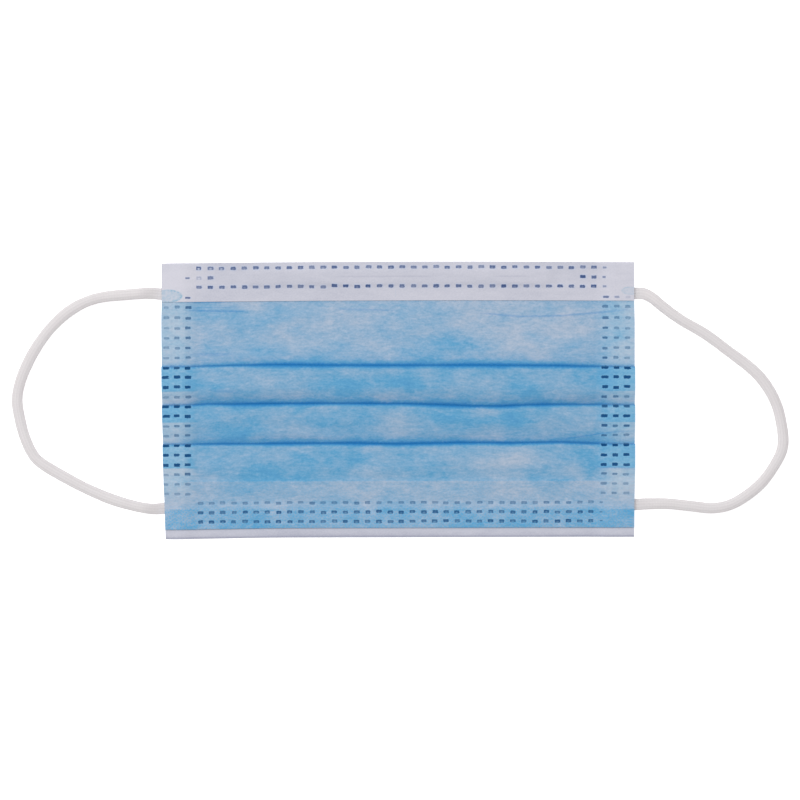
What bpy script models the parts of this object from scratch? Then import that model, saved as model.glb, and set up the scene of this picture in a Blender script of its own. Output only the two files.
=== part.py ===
"""Three-ply face mask, lying flat with its outer side up.

Three sheets of non-woven cloth lie on each other and are folded together into three pleats. The
inner ply is the longest: it wraps forward over the nose edge as a white band, and turns up under
the outer ply at the chin edge. A flat wire lies under the band. Two round elastic cords are pressed
flat at their ends and welded under the mask's sides.

X runs along the mask's width, +Y points to its nose edge and +Z away from the face. The origin is
below the middle of the mask, on the surface that it lies on. All sizes are in metres.
"""

import math

import bmesh
import bpy
from mathutils import Vector

# The mask's outline
MASK_WIDTH = 0.175
MASK_HEIGHT = 0.102
LEFT_LEAN = 0.0018  # how far the left side has come in at the chin edge
NOSE_BOW = 0.0007  # how far the nose edge's corners lie below its middle

# The cloth
PLY = 0.0003
PLY_GAP = 0.0001
SIDE_FOLD_GAP = 0.0002  # between the layers of a pleat, at the welded sides
MIDDLE_FOLD_GAP = 0.0004  # the same in the middle, where the pleats spring open
MIDDLE_RISE = 0.0007  # how far the layers at a pleat's edge stand up in the middle
RISE_RUN = 0.009  # over what length the nose panel rises to the first pleat
SLOPE_REACH = 0.0015  # how far from its corner a slope's rounding starts

# One row for each pleat, from the nose edge down: where its edge shows, and how far its flap
# reaches below that edge, as shares of the mask's height.
PLEATS = (
    {"edge": 0.374, "depth": 0.091},
    {"edge": 0.514, "depth": 0.064},
    {"edge": 0.657, "depth": 0.088},
)

# The nose edge
BAND_HEIGHT = 0.0145  # how far the inner ply comes down over the outer one
WIRE_LENGTH = 0.110
WIRE_WIDTH = 0.003
WIRE_THICKNESS = 0.0006
WIRE_BELOW_EDGE = 0.0058  # from the nose edge to the wire's middle
WIRE_END_RUN = 0.003  # over what length the band comes down past the wire's end
WIRE_SIDE_RUN = 0.0009

# The chin edge
CHIN_STRIP = 0.0035  # how far the inner ply shows below the outer one
OUTER_HEM = 0.0073  # how far the outer ply is turned under itself
TURN_UP = 0.021  # how far the inner ply comes up behind the outer one
HEM_FLAT = 0.003  # the flat stretch above the hem
PLY_STEP = 0.001  # over what length a ply climbs onto the edge of another

# The ear loops
CORD_DIAMETER = 0.0038
CORD_POINT_SPACING = 0.004
PRESSED_THICKNESS = 0.001
PRESSED_WIDENING = 1.2
PRESSED_LENGTH = 0.0065  # how far an end reaches under the mask
EDGE_ROOM = 0.0005  # how far outside the mask the cord is still flat
PRESSING_RUN = 0.005  # over what length past that the cord turns round
END_ROUNDING = 0.6  # the cord's width at its very end, as a share of its width
CORD_GAP = 0.0003
LIFT_MARGIN = 0.0015
LIFT_RUN = 0.005  # over what length the mask comes down from the cord's ends

# Where along Y each cord leaves the mask, at its nose end and its chin end
LEFT_ENDS = (0.0393, -0.0402)
RIGHT_ENDS = (0.0396, -0.0388)

# Each cord's route between them, as it lies: how far outside the mask's side, and where along Y
LEFT_ROUTE = (
    (0.0055, 0.0392), (0.0140, 0.0386), (0.0225, 0.0376), (0.0290, 0.0355),
    (0.0350, 0.0320), (0.0405, 0.0268), (0.0450, 0.0208), (0.0488, 0.0142), (0.0518, 0.0072),
    (0.0533, 0.0004), (0.0526, -0.0065), (0.0505, -0.0142), (0.0478, -0.0208), (0.0440, -0.0242),
    (0.0372, -0.0287), (0.0285, -0.0333), (0.0195, -0.0372), (0.0110, -0.0400), (0.0040, -0.0407),
)
RIGHT_ROUTE = (
    (0.0035, 0.0393), (0.0066, 0.0377), (0.0105, 0.0346), (0.0170, 0.0300),
    (0.0265, 0.0244), (0.0350, 0.0184), (0.0440, 0.0116), (0.0492, 0.0052), (0.0527, -0.0024),
    (0.0550, -0.0110), (0.0554, -0.0172), (0.0533, -0.0225), (0.0487, -0.0298), (0.0430, -0.0350),
    (0.0360, -0.0393), (0.0290, -0.0405), (0.0218, -0.0396), (0.0130, -0.0386), (0.0060, -0.0387),
)

HALF_WIDTH = MASK_WIDTH / 2
NOSE_Y = MASK_HEIGHT / 2
CHIN_Y = -MASK_HEIGHT / 2
PITCH = PLY + PLY_GAP
WALL = 3 * PLY + 2 * PLY_GAP
NOSE_TURN = 1.5 * PITCH  # half the height of the inner ply's turn round the nose edge
SIDE_LIFT = PRESSED_THICKNESS + CORD_GAP
WIRE_Y = NOSE_Y - WIRE_BELOW_EDGE
RIDGE = WIRE_THICKNESS + PLY_GAP
HEM_FOLD = PLY + SIDE_FOLD_GAP  # from the hem's turned-under cloth to the cloth over it
HEM_Y = CHIN_Y + CHIN_STRIP + OUTER_HEM
TURN_UP_Y = CHIN_Y + TURN_UP
ARC_STEPS = 2
STRAIGHT = 0.001  # a turn under this many radians is laid as a straight line
SAME_SPOT = 0.00001
LEAST_MITRE = 0.5
ROUTE_STEPS = 10
WELD_DISTANCE = 0.000001
WIRE_END_STEPS = 6
CORD_BEVEL_RESOLUTION = 2

OUTER_BLUE = (0.17, 0.43, 0.65)
INNER_WHITE = (0.62, 0.62, 0.68)
FILTER_WHITE = (0.80, 0.80, 0.80)
WIRE_WHITE = (0.75, 0.75, 0.76)
CORD_WHITE = (0.72, 0.70, 0.71)


def clear_scene():
    for old in list(bpy.data.objects):
        bpy.data.objects.remove(old)


def material(name, colour, roughness):
    made = bpy.data.materials.new(name)
    made.use_nodes = True
    shader = made.node_tree.nodes["Principled BSDF"]
    shader.inputs["Base Color"].default_value = (*colour, 1.0)
    shader.inputs["Roughness"].default_value = roughness
    shader.inputs["Metallic"].default_value = 0.0
    return made


def add_object(name, mesh, finish, collection):
    made = bpy.data.objects.new(name, mesh)
    made.data.materials.append(finish)
    collection.objects.link(made)
    return made


def as_laid(x, y, z):
    """Where a point of the straight mask lies once the nose edge bows and the left side leans."""
    outward = x / HALF_WIDTH
    below_nose = (NOSE_Y - y) / MASK_HEIGHT
    lean = LEFT_LEAN * max(0.0, -outward) * below_nose
    return Vector((x + lean, y - NOSE_BOW * outward**2 * (1.0 - below_nose), z))


def rounded(corners):
    """A line through the corners (y, z, reach). Each is turned in an arc that starts and ends its
    reach away from the corner, or left sharp where the reach is 0."""
    spots = [Vector(corner[:2]) for corner in corners]
    line = [spots[0]]
    for index in range(1, len(corners) - 1):
        corner, reach = spots[index], corners[index][2]
        back, ahead = spots[index - 1] - corner, spots[index + 1] - corner
        reach = min(reach, back.length / 2, ahead.length / 2)
        points = [corner]
        if reach > 0:
            points = arc(corner, back.normalized() * reach, ahead.normalized() * reach)
        if (points[0] - line[-1]).length < SAME_SPOT:
            points = points[1:]
        line += points
    return line + [spots[-1]]


def arc(corner, back, ahead):
    """The points of an arc that turns a corner, from corner + back to corner + ahead."""
    turn = math.pi - back.angle(ahead)
    if turn < STRAIGHT:
        return [corner + back.lerp(ahead, step / ARC_STEPS) for step in range(ARC_STEPS + 1)]
    radius = back.length / math.tan(turn / 2)
    centre = corner + (back + ahead).normalized() * radius / math.cos(turn / 2)
    start = corner + back - centre
    sideways = -back.normalized() * radius
    angles = [turn * step / ARC_STEPS for step in range(ARC_STEPS + 1)]
    return [centre + start * math.cos(angle) + sideways * math.sin(angle) for angle in angles]


def beside(line, distances):
    """The line moved sideways, towards the cloth's outer side, by a distance for each point."""
    moved = []
    for index, point in enumerate(line):
        before = line[max(index - 1, 0)]
        after = line[min(index + 1, len(line) - 1)]
        came = (point - before).normalized() if index > 0 else (after - point).normalized()
        goes = (after - point).normalized() if index < len(line) - 1 else came
        heading = (came + goes).normalized()
        stretch = 1 / max(heading.dot(goes), LEAST_MITRE)
        normal = Vector((heading.y, -heading.x))
        moved.append(point + normal * distances[index] * stretch)
    return moved


def pleated_corners(base, level, rise):
    """The corners of the folded cloth's middle line, from the nose edge to the last pleat. level
    is the step from one layer of a pleat to the next."""
    nose_start = NOSE_Y - NOSE_TURN - PLY / 2
    first_edge = NOSE_Y - PLEATS[0]["edge"] * MASK_HEIGHT
    corners = [(nose_start, base, 0), (first_edge + RISE_RUN, base, SLOPE_REACH)]
    fold = level / 2
    for pleat in PLEATS:
        edge = NOSE_Y - pleat["edge"] * MASK_HEIGHT
        hidden = edge - pleat["depth"] * MASK_HEIGHT
        edge_line, hidden_line = edge - WALL / 2, hidden + WALL / 2
        corners += [
            (edge + PLY, base + rise, SLOPE_REACH),
            (hidden_line, base, fold),
            (hidden_line, base + level, fold),
            (edge_line, base + rise + level, fold),
            (edge_line, base + rise + 2 * level, fold),
            (hidden_line, base + 2 * level, SLOPE_REACH),
        ]
    return corners


def cross_section(lift, puff, wire):
    """The middle lines of the three plies in the Y-Z plane, by name. lift, puff and wire are
    shares: of the rise over the cords' ends, of the spring in the pleats, and of the ridge."""
    base = SIDE_LIFT * lift + WALL / 2
    level = WALL + SIDE_FOLD_GAP + (MIDDLE_FOLD_GAP - SIDE_FOLD_GAP) * puff
    corners = pleated_corners(base, level, MIDDLE_RISE * puff)

    panel_top, panel_z = corners[-1][0], corners[-1][1]
    flat_y = HEM_Y + HEM_FLAT
    slope = (panel_z - base) / (panel_top - flat_y)
    step_ys = (TURN_UP_Y + PLY_STEP, TURN_UP_Y)
    corners += [(y, base + (y - flat_y) * slope, 0) for y in step_ys]
    corners += [(flat_y, base, SLOPE_REACH), (HEM_Y + PLY_STEP, base, 0)]
    folded = rounded(corners)
    on_turn_up = len(folded) - ARC_STEPS - 3  # the first point that lies on the turned-up edge

    def layer(before, after):
        return beside(folded, [before] * on_turn_up + [after] * (len(folded) - on_turn_up))

    return {
        "outer_ply": layer(PITCH, 2 * PITCH) + outer_hem(base),
        "filter_ply": layer(0, 0) + [Vector((CHIN_Y + PITCH + PLY / 2, base))],
        "inner_ply": nose_band(base, wire)
        + layer(-PITCH, -PITCH)
        + chin_fold(base)
        + list(reversed(layer(PITCH, PITCH)[on_turn_up:])),
    }


def outer_hem(base):
    """The outer ply's chin end: it climbs onto its own hem and folds under itself."""
    under, over = base + 2 * PITCH, base + 2 * PITCH + HEM_FOLD
    edge = CHIN_Y + CHIN_STRIP + PLY / 2
    return rounded(
        [
            (HEM_Y, over, 0),
            (edge, over, HEM_FOLD / 2),
            (edge, under, HEM_FOLD / 2),
            (HEM_Y - PLY_GAP - PLY, under, 0),
        ]
    )


def nose_band(base, wire):
    """The inner ply's nose end, from the band's lower edge over the wire and round the edge."""
    front, back = base + 2 * PITCH, base - PITCH
    edge = NOSE_Y - PLY / 2
    over_wire = front + RIDGE * wire
    wire_half = WIRE_WIDTH / 2 + PLY_GAP
    corners = [
        (NOSE_Y - BAND_HEIGHT, front, 0),
        (WIRE_Y - wire_half - WIRE_SIDE_RUN, front, 0),
        (WIRE_Y - wire_half, over_wire, 0),
        (WIRE_Y + wire_half, over_wire, 0),
        (WIRE_Y + wire_half + WIRE_SIDE_RUN, front, 0),
        (edge, front, NOSE_TURN),
        (edge, back, NOSE_TURN),
        (NOSE_Y - BAND_HEIGHT, back, 0),
    ]
    return rounded(corners)[:-2]


def chin_fold(base):
    """The inner ply's turn at the chin edge, from the back layer to the turned-up one."""
    edge = CHIN_Y + PLY / 2
    corners = [
        (HEM_Y, base - PITCH, 0),
        (edge, base - PITCH, PITCH),
        (edge, base + PITCH, PITCH),
        (HEM_Y, base + PITCH, 0),
    ]
    return rounded(corners)[1:-1]


def stations():
    """Where along the width the cross-section is set out, with its three shares."""
    cord_held = HALF_WIDTH - PRESSED_LENGTH - LIFT_MARGIN
    welded = cord_held - LIFT_RUN
    wire_end = WIRE_LENGTH / 2 + CORD_GAP
    band_down = wire_end + WIRE_END_RUN
    side = (
        {"x": HALF_WIDTH, "lift": 1, "puff": 0, "wire": 0},
        {"x": cord_held, "lift": 1, "puff": 0, "wire": 0},
        {"x": welded, "lift": 0, "puff": 0, "wire": 0},
        {"x": (welded + band_down) / 2, "lift": 0, "puff": 0.6, "wire": 0},
        {"x": band_down, "lift": 0, "puff": 0.9, "wire": 0},
        {"x": wire_end, "lift": 0, "puff": 1, "wire": 1},
    )
    middle = ({"x": 0, "lift": 0, "puff": 1, "wire": 1},)
    left = tuple({**row, "x": -row["x"]} for row in side)
    return left + middle + tuple(reversed(side))


def lofted_sheet(name, lines, finish, collection):
    """A ply as an open surface through its lines (x, points), given its thickness by Solidify."""
    across = len(lines[0][1])
    vertices = [as_laid(x, point.x, point.y) for x, line in lines for point in line]
    faces = []
    for row in range(len(lines) - 1):
        for step in range(across - 1):
            first = row * across + step
            faces.append((first, first + 1, first + across + 1, first + across))
    mesh = bpy.data.meshes.new(name)
    mesh.from_pydata(vertices, [], faces)
    sheet = add_object(name, mesh, finish, collection)
    shell = sheet.modifiers.new("thickness", "SOLIDIFY")
    shell.thickness = PLY
    shell.offset = 0
    shell.use_even_offset = True
    return sheet


def add_plies(collection):
    finishes = {
        "outer_ply": material("blue_spunbond", OUTER_BLUE, 0.85),
        "filter_ply": material("white_meltblown", FILTER_WHITE, 0.9),
        "inner_ply": material("white_spunbond", INNER_WHITE, 0.85),
    }
    sections = [
        (row["x"], cross_section(row["lift"], row["puff"], row["wire"])) for row in stations()
    ]
    for name, finish in finishes.items():
        lofted_sheet(name, [(x, section[name]) for x, section in sections], finish, collection)


def mesh_of_curve(curve_object):
    """The curve's evaluated shape as a mesh of its own, with its caps welded on."""
    graph = bpy.context.evaluated_depsgraph_get()
    mesh = bpy.data.meshes.new_from_object(curve_object.evaluated_get(graph))
    mesh.transform(curve_object.matrix_world)
    bpy.data.objects.remove(curve_object)
    cage = bmesh.new()
    cage.from_mesh(mesh)
    bmesh.ops.remove_doubles(cage, verts=cage.verts, dist=WELD_DISTANCE)
    bmesh.ops.recalc_face_normals(cage, faces=cage.faces)
    cage.to_mesh(mesh)
    cage.free()
    return mesh


def add_nose_wire(collection):
    """The coated wire, a flat strip with round ends that follows the nose edge's bow."""
    outline = bpy.data.curves.new("nose_wire_outline", "CURVE")
    outline.dimensions = "2D"
    outline.fill_mode = "BOTH"
    outline.extrude = WIRE_THICKNESS / 2
    half_width, straight = WIRE_WIDTH / 2, (WIRE_LENGTH - WIRE_WIDTH) / 2
    points = []
    for side in (1, -1):
        for step in range(WIRE_END_STEPS + 1):
            angle = side * math.pi / 2 - math.pi * step / WIRE_END_STEPS
            across, along = half_width * math.sin(angle), half_width * math.cos(angle)
            points.append((side * straight + along, across))
        points.append((0.0, -side * half_width))
    spline = outline.splines.new("POLY")
    spline.points.add(len(points) - 1)
    for spot, (x, y) in zip(spline.points, points):
        spot.co = (x, y, 0, 1)
    spline.use_cyclic_u = True
    maker = bpy.data.objects.new("nose_wire_outline", outline)
    collection.objects.link(maker)
    mesh = mesh_of_curve(maker)
    on_outer_ply = WALL / 2 + PITCH + PLY / 2 + PLY_GAP + WIRE_THICKNESS / 2
    for vertex in mesh.vertices:
        vertex.co = as_laid(vertex.co.x, WIRE_Y + vertex.co.y, on_outer_ply + vertex.co.z)
    return add_object("nose_wire", mesh, material("coated_wire", WIRE_WHITE, 0.5), collection)


def side_edge(side, y):
    """Where the mask's side is at y, on the left (side -1) or the right (side 1)."""
    return as_laid(side * HALF_WIDTH, y, 0).x


def smooth_route(route):
    """Points at an even spacing on a smooth curve through the route's own points."""
    fine = []
    padded = [route[0], *route, route[-1]]
    for before, start, end, after in zip(padded, padded[1:], padded[2:], padded[3:]):
        for step in range(ROUTE_STEPS):
            t = step / ROUTE_STEPS
            fine.append(
                0.5
                * (
                    2 * start
                    + (end - before) * t
                    + (2 * before - 5 * start + 4 * end - after) * t**2
                    + (3 * start - before - 3 * end + after) * t**3
                )
            )
    fine.append(route[-1])
    lengths = [0.0]
    for start, end in zip(fine, fine[1:]):
        lengths.append(lengths[-1] + (end - start).length)
    count = round(lengths[-1] / CORD_POINT_SPACING)
    points, index = [], 0
    for number in range(count + 1):
        target = lengths[-1] * number / count
        while index < len(lengths) - 2 and lengths[index + 1] < target:
            index += 1
        share = (target - lengths[index]) / (lengths[index + 1] - lengths[index])
        points.append(fine[index].lerp(fine[index + 1], share))
    return points


def cord_points(side, ends, outside):
    """The cord's whole line, with the straight ends that lie under the mask."""
    radius = CORD_DIAMETER / 2
    at_edges = [Vector((side_edge(side, y) + side * EDGE_ROOM, y, radius)) for y in ends]
    route = [Vector((side * (HALF_WIDTH + out), y, radius)) for out, y in outside]
    under = Vector((side * (PRESSED_LENGTH + EDGE_ROOM), 0, 0))
    first, last = [[spot - under, spot - under / 2] for spot in at_edges]
    return first + smooth_route([at_edges[0], *route, at_edges[1]]) + list(reversed(last))


def add_ear_loop(name, side, ends, outside, finish, collection):
    """An elastic cord laid along its route, with both ends pressed flat under the mask."""
    points = cord_points(side, ends, outside)
    route = bpy.data.curves.new(name, "CURVE")
    route.dimensions = "3D"
    route.bevel_depth = CORD_DIAMETER / 2
    route.bevel_resolution = CORD_BEVEL_RESOLUTION
    route.use_fill_caps = True
    spline = route.splines.new("POLY")
    spline.points.add(len(points) - 1)
    for spot, point in zip(spline.points, points):
        spot.co = (*point, 1)
    spline.points[0].radius = END_ROUNDING
    spline.points[-1].radius = END_ROUNDING
    maker = bpy.data.objects.new(name + "_route", route)
    collection.objects.link(maker)
    mesh = mesh_of_curve(maker)
    press_ends(mesh, side, points)
    cord = add_object(name, mesh, finish, collection)
    mesh.shade_smooth()
    return cord


def press_ends(mesh, side, points):
    """Flattens the cord towards the surface it lies on, where it runs under the mask."""
    flat = PRESSED_THICKNESS / CORD_DIAMETER
    for vertex in mesh.vertices:
        spot = vertex.co
        end = points[0] if spot.y > 0 else points[-1]
        outside = side * (spot.x - side_edge(side, end.y)) - EDGE_ROOM
        share = min(max(outside / PRESSING_RUN, 0.0), 1.0)
        round_share = share**2 * (3 - 2 * share)
        spot.z *= flat + (1 - flat) * round_share
        if share < 1:
            widened = PRESSED_WIDENING + (1 - PRESSED_WIDENING) * round_share
            spot.y = end.y + (spot.y - end.y) * widened


def main():
    clear_scene()
    mask = bpy.data.collections.new("face_mask")
    bpy.context.scene.collection.children.link(mask)
    add_plies(mask)
    add_nose_wire(mask)
    elastic = material("white_elastic", CORD_WHITE, 0.8)
    add_ear_loop("ear_loop_left", -1, LEFT_ENDS, LEFT_ROUTE, elastic, mask)
    add_ear_loop("ear_loop_right", 1, RIGHT_ENDS, RIGHT_ROUTE, elastic, mask)


main()
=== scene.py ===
"""Three-ply face mask, lying flat with its outer side up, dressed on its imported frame.

The outer, filter and inner ply are folded sheets that follow the middle lines of their CAD solids,
with the hot welds pressed into them. A knitted elastic cord lies at each side. Everything is in
metres: X runs along the mask's width, +Y points to its nose edge and +Z away from the face.
"""

import logging
import math
from collections.abc import Sequence
from dataclasses import dataclass, field
from enum import Enum
from functools import partial
from typing import Any

import bpy
import numpy as np
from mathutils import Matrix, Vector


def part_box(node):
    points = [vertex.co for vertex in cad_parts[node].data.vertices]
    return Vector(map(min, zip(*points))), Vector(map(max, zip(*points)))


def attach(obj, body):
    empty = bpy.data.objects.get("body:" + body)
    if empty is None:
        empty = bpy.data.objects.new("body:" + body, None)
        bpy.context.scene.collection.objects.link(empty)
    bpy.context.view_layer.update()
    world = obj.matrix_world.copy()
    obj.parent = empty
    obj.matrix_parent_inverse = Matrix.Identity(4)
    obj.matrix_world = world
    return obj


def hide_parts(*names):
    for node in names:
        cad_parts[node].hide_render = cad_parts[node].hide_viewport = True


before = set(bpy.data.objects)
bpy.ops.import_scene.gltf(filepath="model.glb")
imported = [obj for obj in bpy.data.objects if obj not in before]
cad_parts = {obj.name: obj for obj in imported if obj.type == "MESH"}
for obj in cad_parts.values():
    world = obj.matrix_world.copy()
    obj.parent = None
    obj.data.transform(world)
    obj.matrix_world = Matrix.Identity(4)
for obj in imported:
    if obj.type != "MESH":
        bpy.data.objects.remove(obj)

log = logging.getLogger("face_mask")

MM = 0.001
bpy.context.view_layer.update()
SHEET_LOW, SHEET_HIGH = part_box("inner_ply")
HALF_WIDTH = (SHEET_HIGH[0] - SHEET_LOW[0]) / 2
MASK_HEIGHT = SHEET_HIGH[1] - SHEET_LOW[1]
NOSE_Y = SHEET_HIGH[1]
CHIN_Y = SHEET_LOW[1]

SAME_SPOT = 0.00001
STRAIGHT = 0.001  # a turn under this many radians is laid as a straight line
LEAST_MITRE = 0.5
ARC_ANGLE = math.radians(23.0)  # the most that one step of a fold turns
FAR = 9.0  # a place on a mark or a weld that lies far outside it
LAYER_EASE = 0.15 * MM  # how far to each side of a hidden layer's edge the colour changes
SIDE_STRIP = 14.5 * MM  # how far in from the sides the layers are pressed together
LEFT_LEAN = 1.5 * MM  # how far the mask's left side has come in at the chin edge
TURN_ROOM = 0.6 * MM  # how far from the nose and chin edges their turns begin
LEAST_STEP = 0.05 * MM  # no two grid lines that matter lie closer
SHARP = math.radians(50.0)  # an edge that turns more than this is shaded as a sharp one

Socket = bpy.types.NodeSocket
COLOURS = {"data_type": "RGBA"}
EASED = {"interpolation_type": "SMOOTHSTEP"}


class Ply(Enum):
    """The mask's three sheets, by the node that each stands for."""

    OUTER = "outer_ply"
    FILTER = "filter_ply"
    INNER = "inner_ply"


class Side(Enum):
    """A side of the mask as the picture shows it, by the sign of X there."""

    LEFT = -1
    RIGHT = 1


def linear(code: str) -> tuple[float, float, float, float]:
    """Turns an sRGB colour into the linear one that a shader takes.

    Args:
        code: The colour as six hex digits after a hash sign.

    Returns:
        Red, green, blue and alpha.
    """
    channels = [int(code[place : place + 2], 16) / 255 for place in (1, 3, 5)]
    red, green, blue = (
        value / 12.92 if value <= 0.04045 else ((value + 0.055) / 1.055) ** 2.4
        for value in channels
    )
    return red, green, blue, 1.0


def add_node(
    tree: bpy.types.NodeTree,
    kind: str,
    inputs: dict[str | int, Any] | None = None,
    out: str | int = 0,
    **settings: Any,
) -> Socket:
    """Adds a shader node with its settings and links.

    Args:
        tree: The node tree that it goes into.
        kind: The node's Blender type, after the word ShaderNode.
        inputs: For an input's name or number, the socket that feeds it or the value that it has.
        out: The output that is wanted, by name or number.
        **settings: The node's properties.

    Returns:
        That output.
    """
    node = tree.nodes.new("ShaderNode" + kind)
    for name, value in settings.items():
        setattr(node, name, value)
    for key, value in (inputs or {}).items():
        if isinstance(value, Socket):
            tree.links.new(value, node.inputs[key])
        else:
            node.inputs[key].default_value = value
    return node.outputs[out]


def start_material(name: str, even: dict[str, Any]) -> tuple[bpy.types.Material, partial]:
    """Starts a material.

    Args:
        name: Its name.
        even: What is the same all over the surface, by the shader's inputs.

    Returns:
        The material, and what adds a node to it.
    """
    material = bpy.data.materials.new(name)
    material.use_nodes = True
    shader = material.node_tree.nodes["Principled BSDF"]
    for key, value in even.items():
        shader.inputs[key].default_value = value
    return material, partial(add_node, material.node_tree)


def linked(material: bpy.types.Material, outputs: dict[str, Socket]) -> bpy.types.Material:
    """Feeds a material's shader.

    Args:
        material: The material.
        outputs: The socket that feeds each of the shader's inputs.

    Returns:
        The material.
    """
    shader = material.node_tree.nodes["Principled BSDF"]
    for key, output in outputs.items():
        material.node_tree.links.new(output, shader.inputs[key])
    return material


def smooth(value: np.ndarray, start: float, end: float) -> np.ndarray:
    """Eases from 0 at start to 1 at end.

    Args:
        value: The numbers to look at.
        start: Where the ease is still 0.
        end: Where it has become 1; it may lie below start.

    Returns:
        The eased shares.
    """
    share = np.clip((value - start) / (end - start), 0.0, 1.0)
    return share * share * (3.0 - 2.0 * share)


def add_object(name: str, data: bpy.types.ID) -> bpy.types.Object:
    """Returns a new object that holds the data, in the scene's collection."""
    made = bpy.data.objects.new(name, data)
    bpy.context.collection.objects.link(made)
    return made


def store(mesh: bpy.types.Mesh, name: str, values: np.ndarray, domain: str = "POINT") -> None:
    """Stores values on a mesh, for its material to read.

    Args:
        mesh: The mesh.
        name: The attribute's name.
        values: A number or three for each point or face corner.
        domain: Blender's word for which of those two it is.
    """
    vector = values.ndim == 2
    layer = mesh.attributes.new(name, "FLOAT_VECTOR" if vector else "FLOAT", domain)
    layer.data.foreach_set("vector" if vector else "value", values.ravel())


def share_down(y: np.ndarray) -> np.ndarray:
    """Returns the share of the way from the nose edge to the chin edge."""
    return (NOSE_Y - y) / MASK_HEIGHT


def cell_corners(values: np.ndarray) -> np.ndarray:
    """Returns the values at each cell's four corners, in the order of its face."""
    return np.stack([values[:-1, :-1], values[:-1, 1:], values[1:, 1:], values[1:, :-1]], -1)


def unit(vectors: np.ndarray) -> np.ndarray:
    """Returns the vectors, along the last axis, at length 1."""
    return vectors / np.linalg.norm(vectors, axis=-1, keepdims=True)


Corner = tuple[Any, Any, Any]
Mark = tuple[Any, Any, Any]  # the distance in halves of its width, the darkness and where it is


def rounded(corners: Sequence[Corner]) -> np.ndarray:
    """Lays a line through corners and turns it in an arc at each.

    Args:
        corners: For each corner its y, its z and how far from it the arc starts. Each is one number
            or one for every column of the grid.

    Returns:
        The line's y and z, as an array of columns, points and 2.
    """
    columns = max(np.size(value) for corner in corners for value in corner)
    spread = [[np.broadcast_to(value, columns) for value in corner] for corner in corners]
    spots = [np.stack(corner[:2], axis=-1) for corner in spread]
    line = [spots[0]]
    for index in range(1, len(corners) - 1):
        corner = spots[index]
        back, ahead = spots[index - 1] - corner, spots[index + 1] - corner
        room = np.minimum(np.linalg.norm(back, axis=-1), np.linalg.norm(ahead, axis=-1)) / 2
        reach = np.minimum(spread[index][2], room)[:, None]
        points = [corner]
        if np.any(reach > 0):
            points = arc(corner, unit(back) * reach, unit(ahead) * reach)
        if np.max(np.abs(points[0] - line[-1])) < SAME_SPOT:
            points = points[1:]
        line += points
    return np.stack([*line, spots[-1]], axis=1)


def arc(corner: np.ndarray, back: np.ndarray, ahead: np.ndarray) -> list[np.ndarray]:
    """Turns a corner in an arc, at every column.

    Args:
        corner: The corner's place.
        back: From the corner to the arc's start.
        ahead: From the corner to its end.

    Returns:
        The arc's points, each an array of columns and 2.
    """
    cosine = np.clip((unit(back) * unit(ahead)).sum(-1), -1.0, 1.0)
    turn = np.maximum(math.pi - np.arccos(cosine), STRAIGHT)
    radius = np.linalg.norm(back, axis=-1) / np.tan(turn / 2)
    halfway = back + ahead
    halfway = np.where(turn[:, None] > STRAIGHT, halfway, np.stack([-back[:, 1], back[:, 0]], -1))
    centre = corner + unit(halfway) * (radius / np.cos(turn / 2))[:, None]
    start = corner + back - centre
    sideways = -unit(back) * radius[:, None]
    steps = max(2, math.ceil(float(turn.max()) / ARC_ANGLE))
    points = []
    for step in range(steps + 1):
        angle = (turn * step / steps)[:, None]
        bent = centre + start * np.cos(angle) + sideways * np.sin(angle)
        flat = corner + back + (ahead - back) * step / steps
        points.append(np.where(turn[:, None] > STRAIGHT, bent, flat))
    return points


def outward(line: np.ndarray) -> tuple[np.ndarray, np.ndarray]:
    """Finds the way to the cloth's outer side along a line.

    Args:
        line: The line's y and z, as columns, points and 2.

    Returns:
        The normals, and the stretch that keeps an even distance round each bend.
    """
    steps = unit(np.diff(line, axis=1))
    came = np.concatenate([steps[:, :1], steps], axis=1)
    goes = np.concatenate([steps, steps[:, -1:]], axis=1)
    heading = unit(came + goes)
    stretch = 1.0 / np.maximum((heading * goes).sum(-1), LEAST_MITRE)
    return np.stack([heading[..., 1], -heading[..., 0]], axis=-1), stretch


def beside(line: np.ndarray, distances: np.ndarray | float) -> np.ndarray:
    """Moves a line towards the cloth's outer side.

    Args:
        line: The line's y and z, as columns, points and 2.
        distances: How far, as one number or one for each point.

    Returns:
        The moved line.
    """
    normals, stretch = outward(line)
    return line + normals * (distances * stretch)[..., None]


@dataclass(frozen=True)
class Pleat:
    """A pleat that opens upwards, in shares of the mask's height.

    Attributes:
        edge: From the nose edge to the edge that shows.
        depth: From that edge to the fold that is hidden below it.
    """

    edge: float
    depth: float

    @property
    def edge_y(self) -> float:
        """Where the edge shows."""
        return NOSE_Y - self.edge * MASK_HEIGHT

    @property
    def hidden_y(self) -> float:
        """Where the hidden fold lies."""
        return self.edge_y - self.depth * MASK_HEIGHT


PLEATS = (Pleat(0.374, 0.091), Pleat(0.514, 0.064), Pleat(0.657, 0.088))


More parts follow.
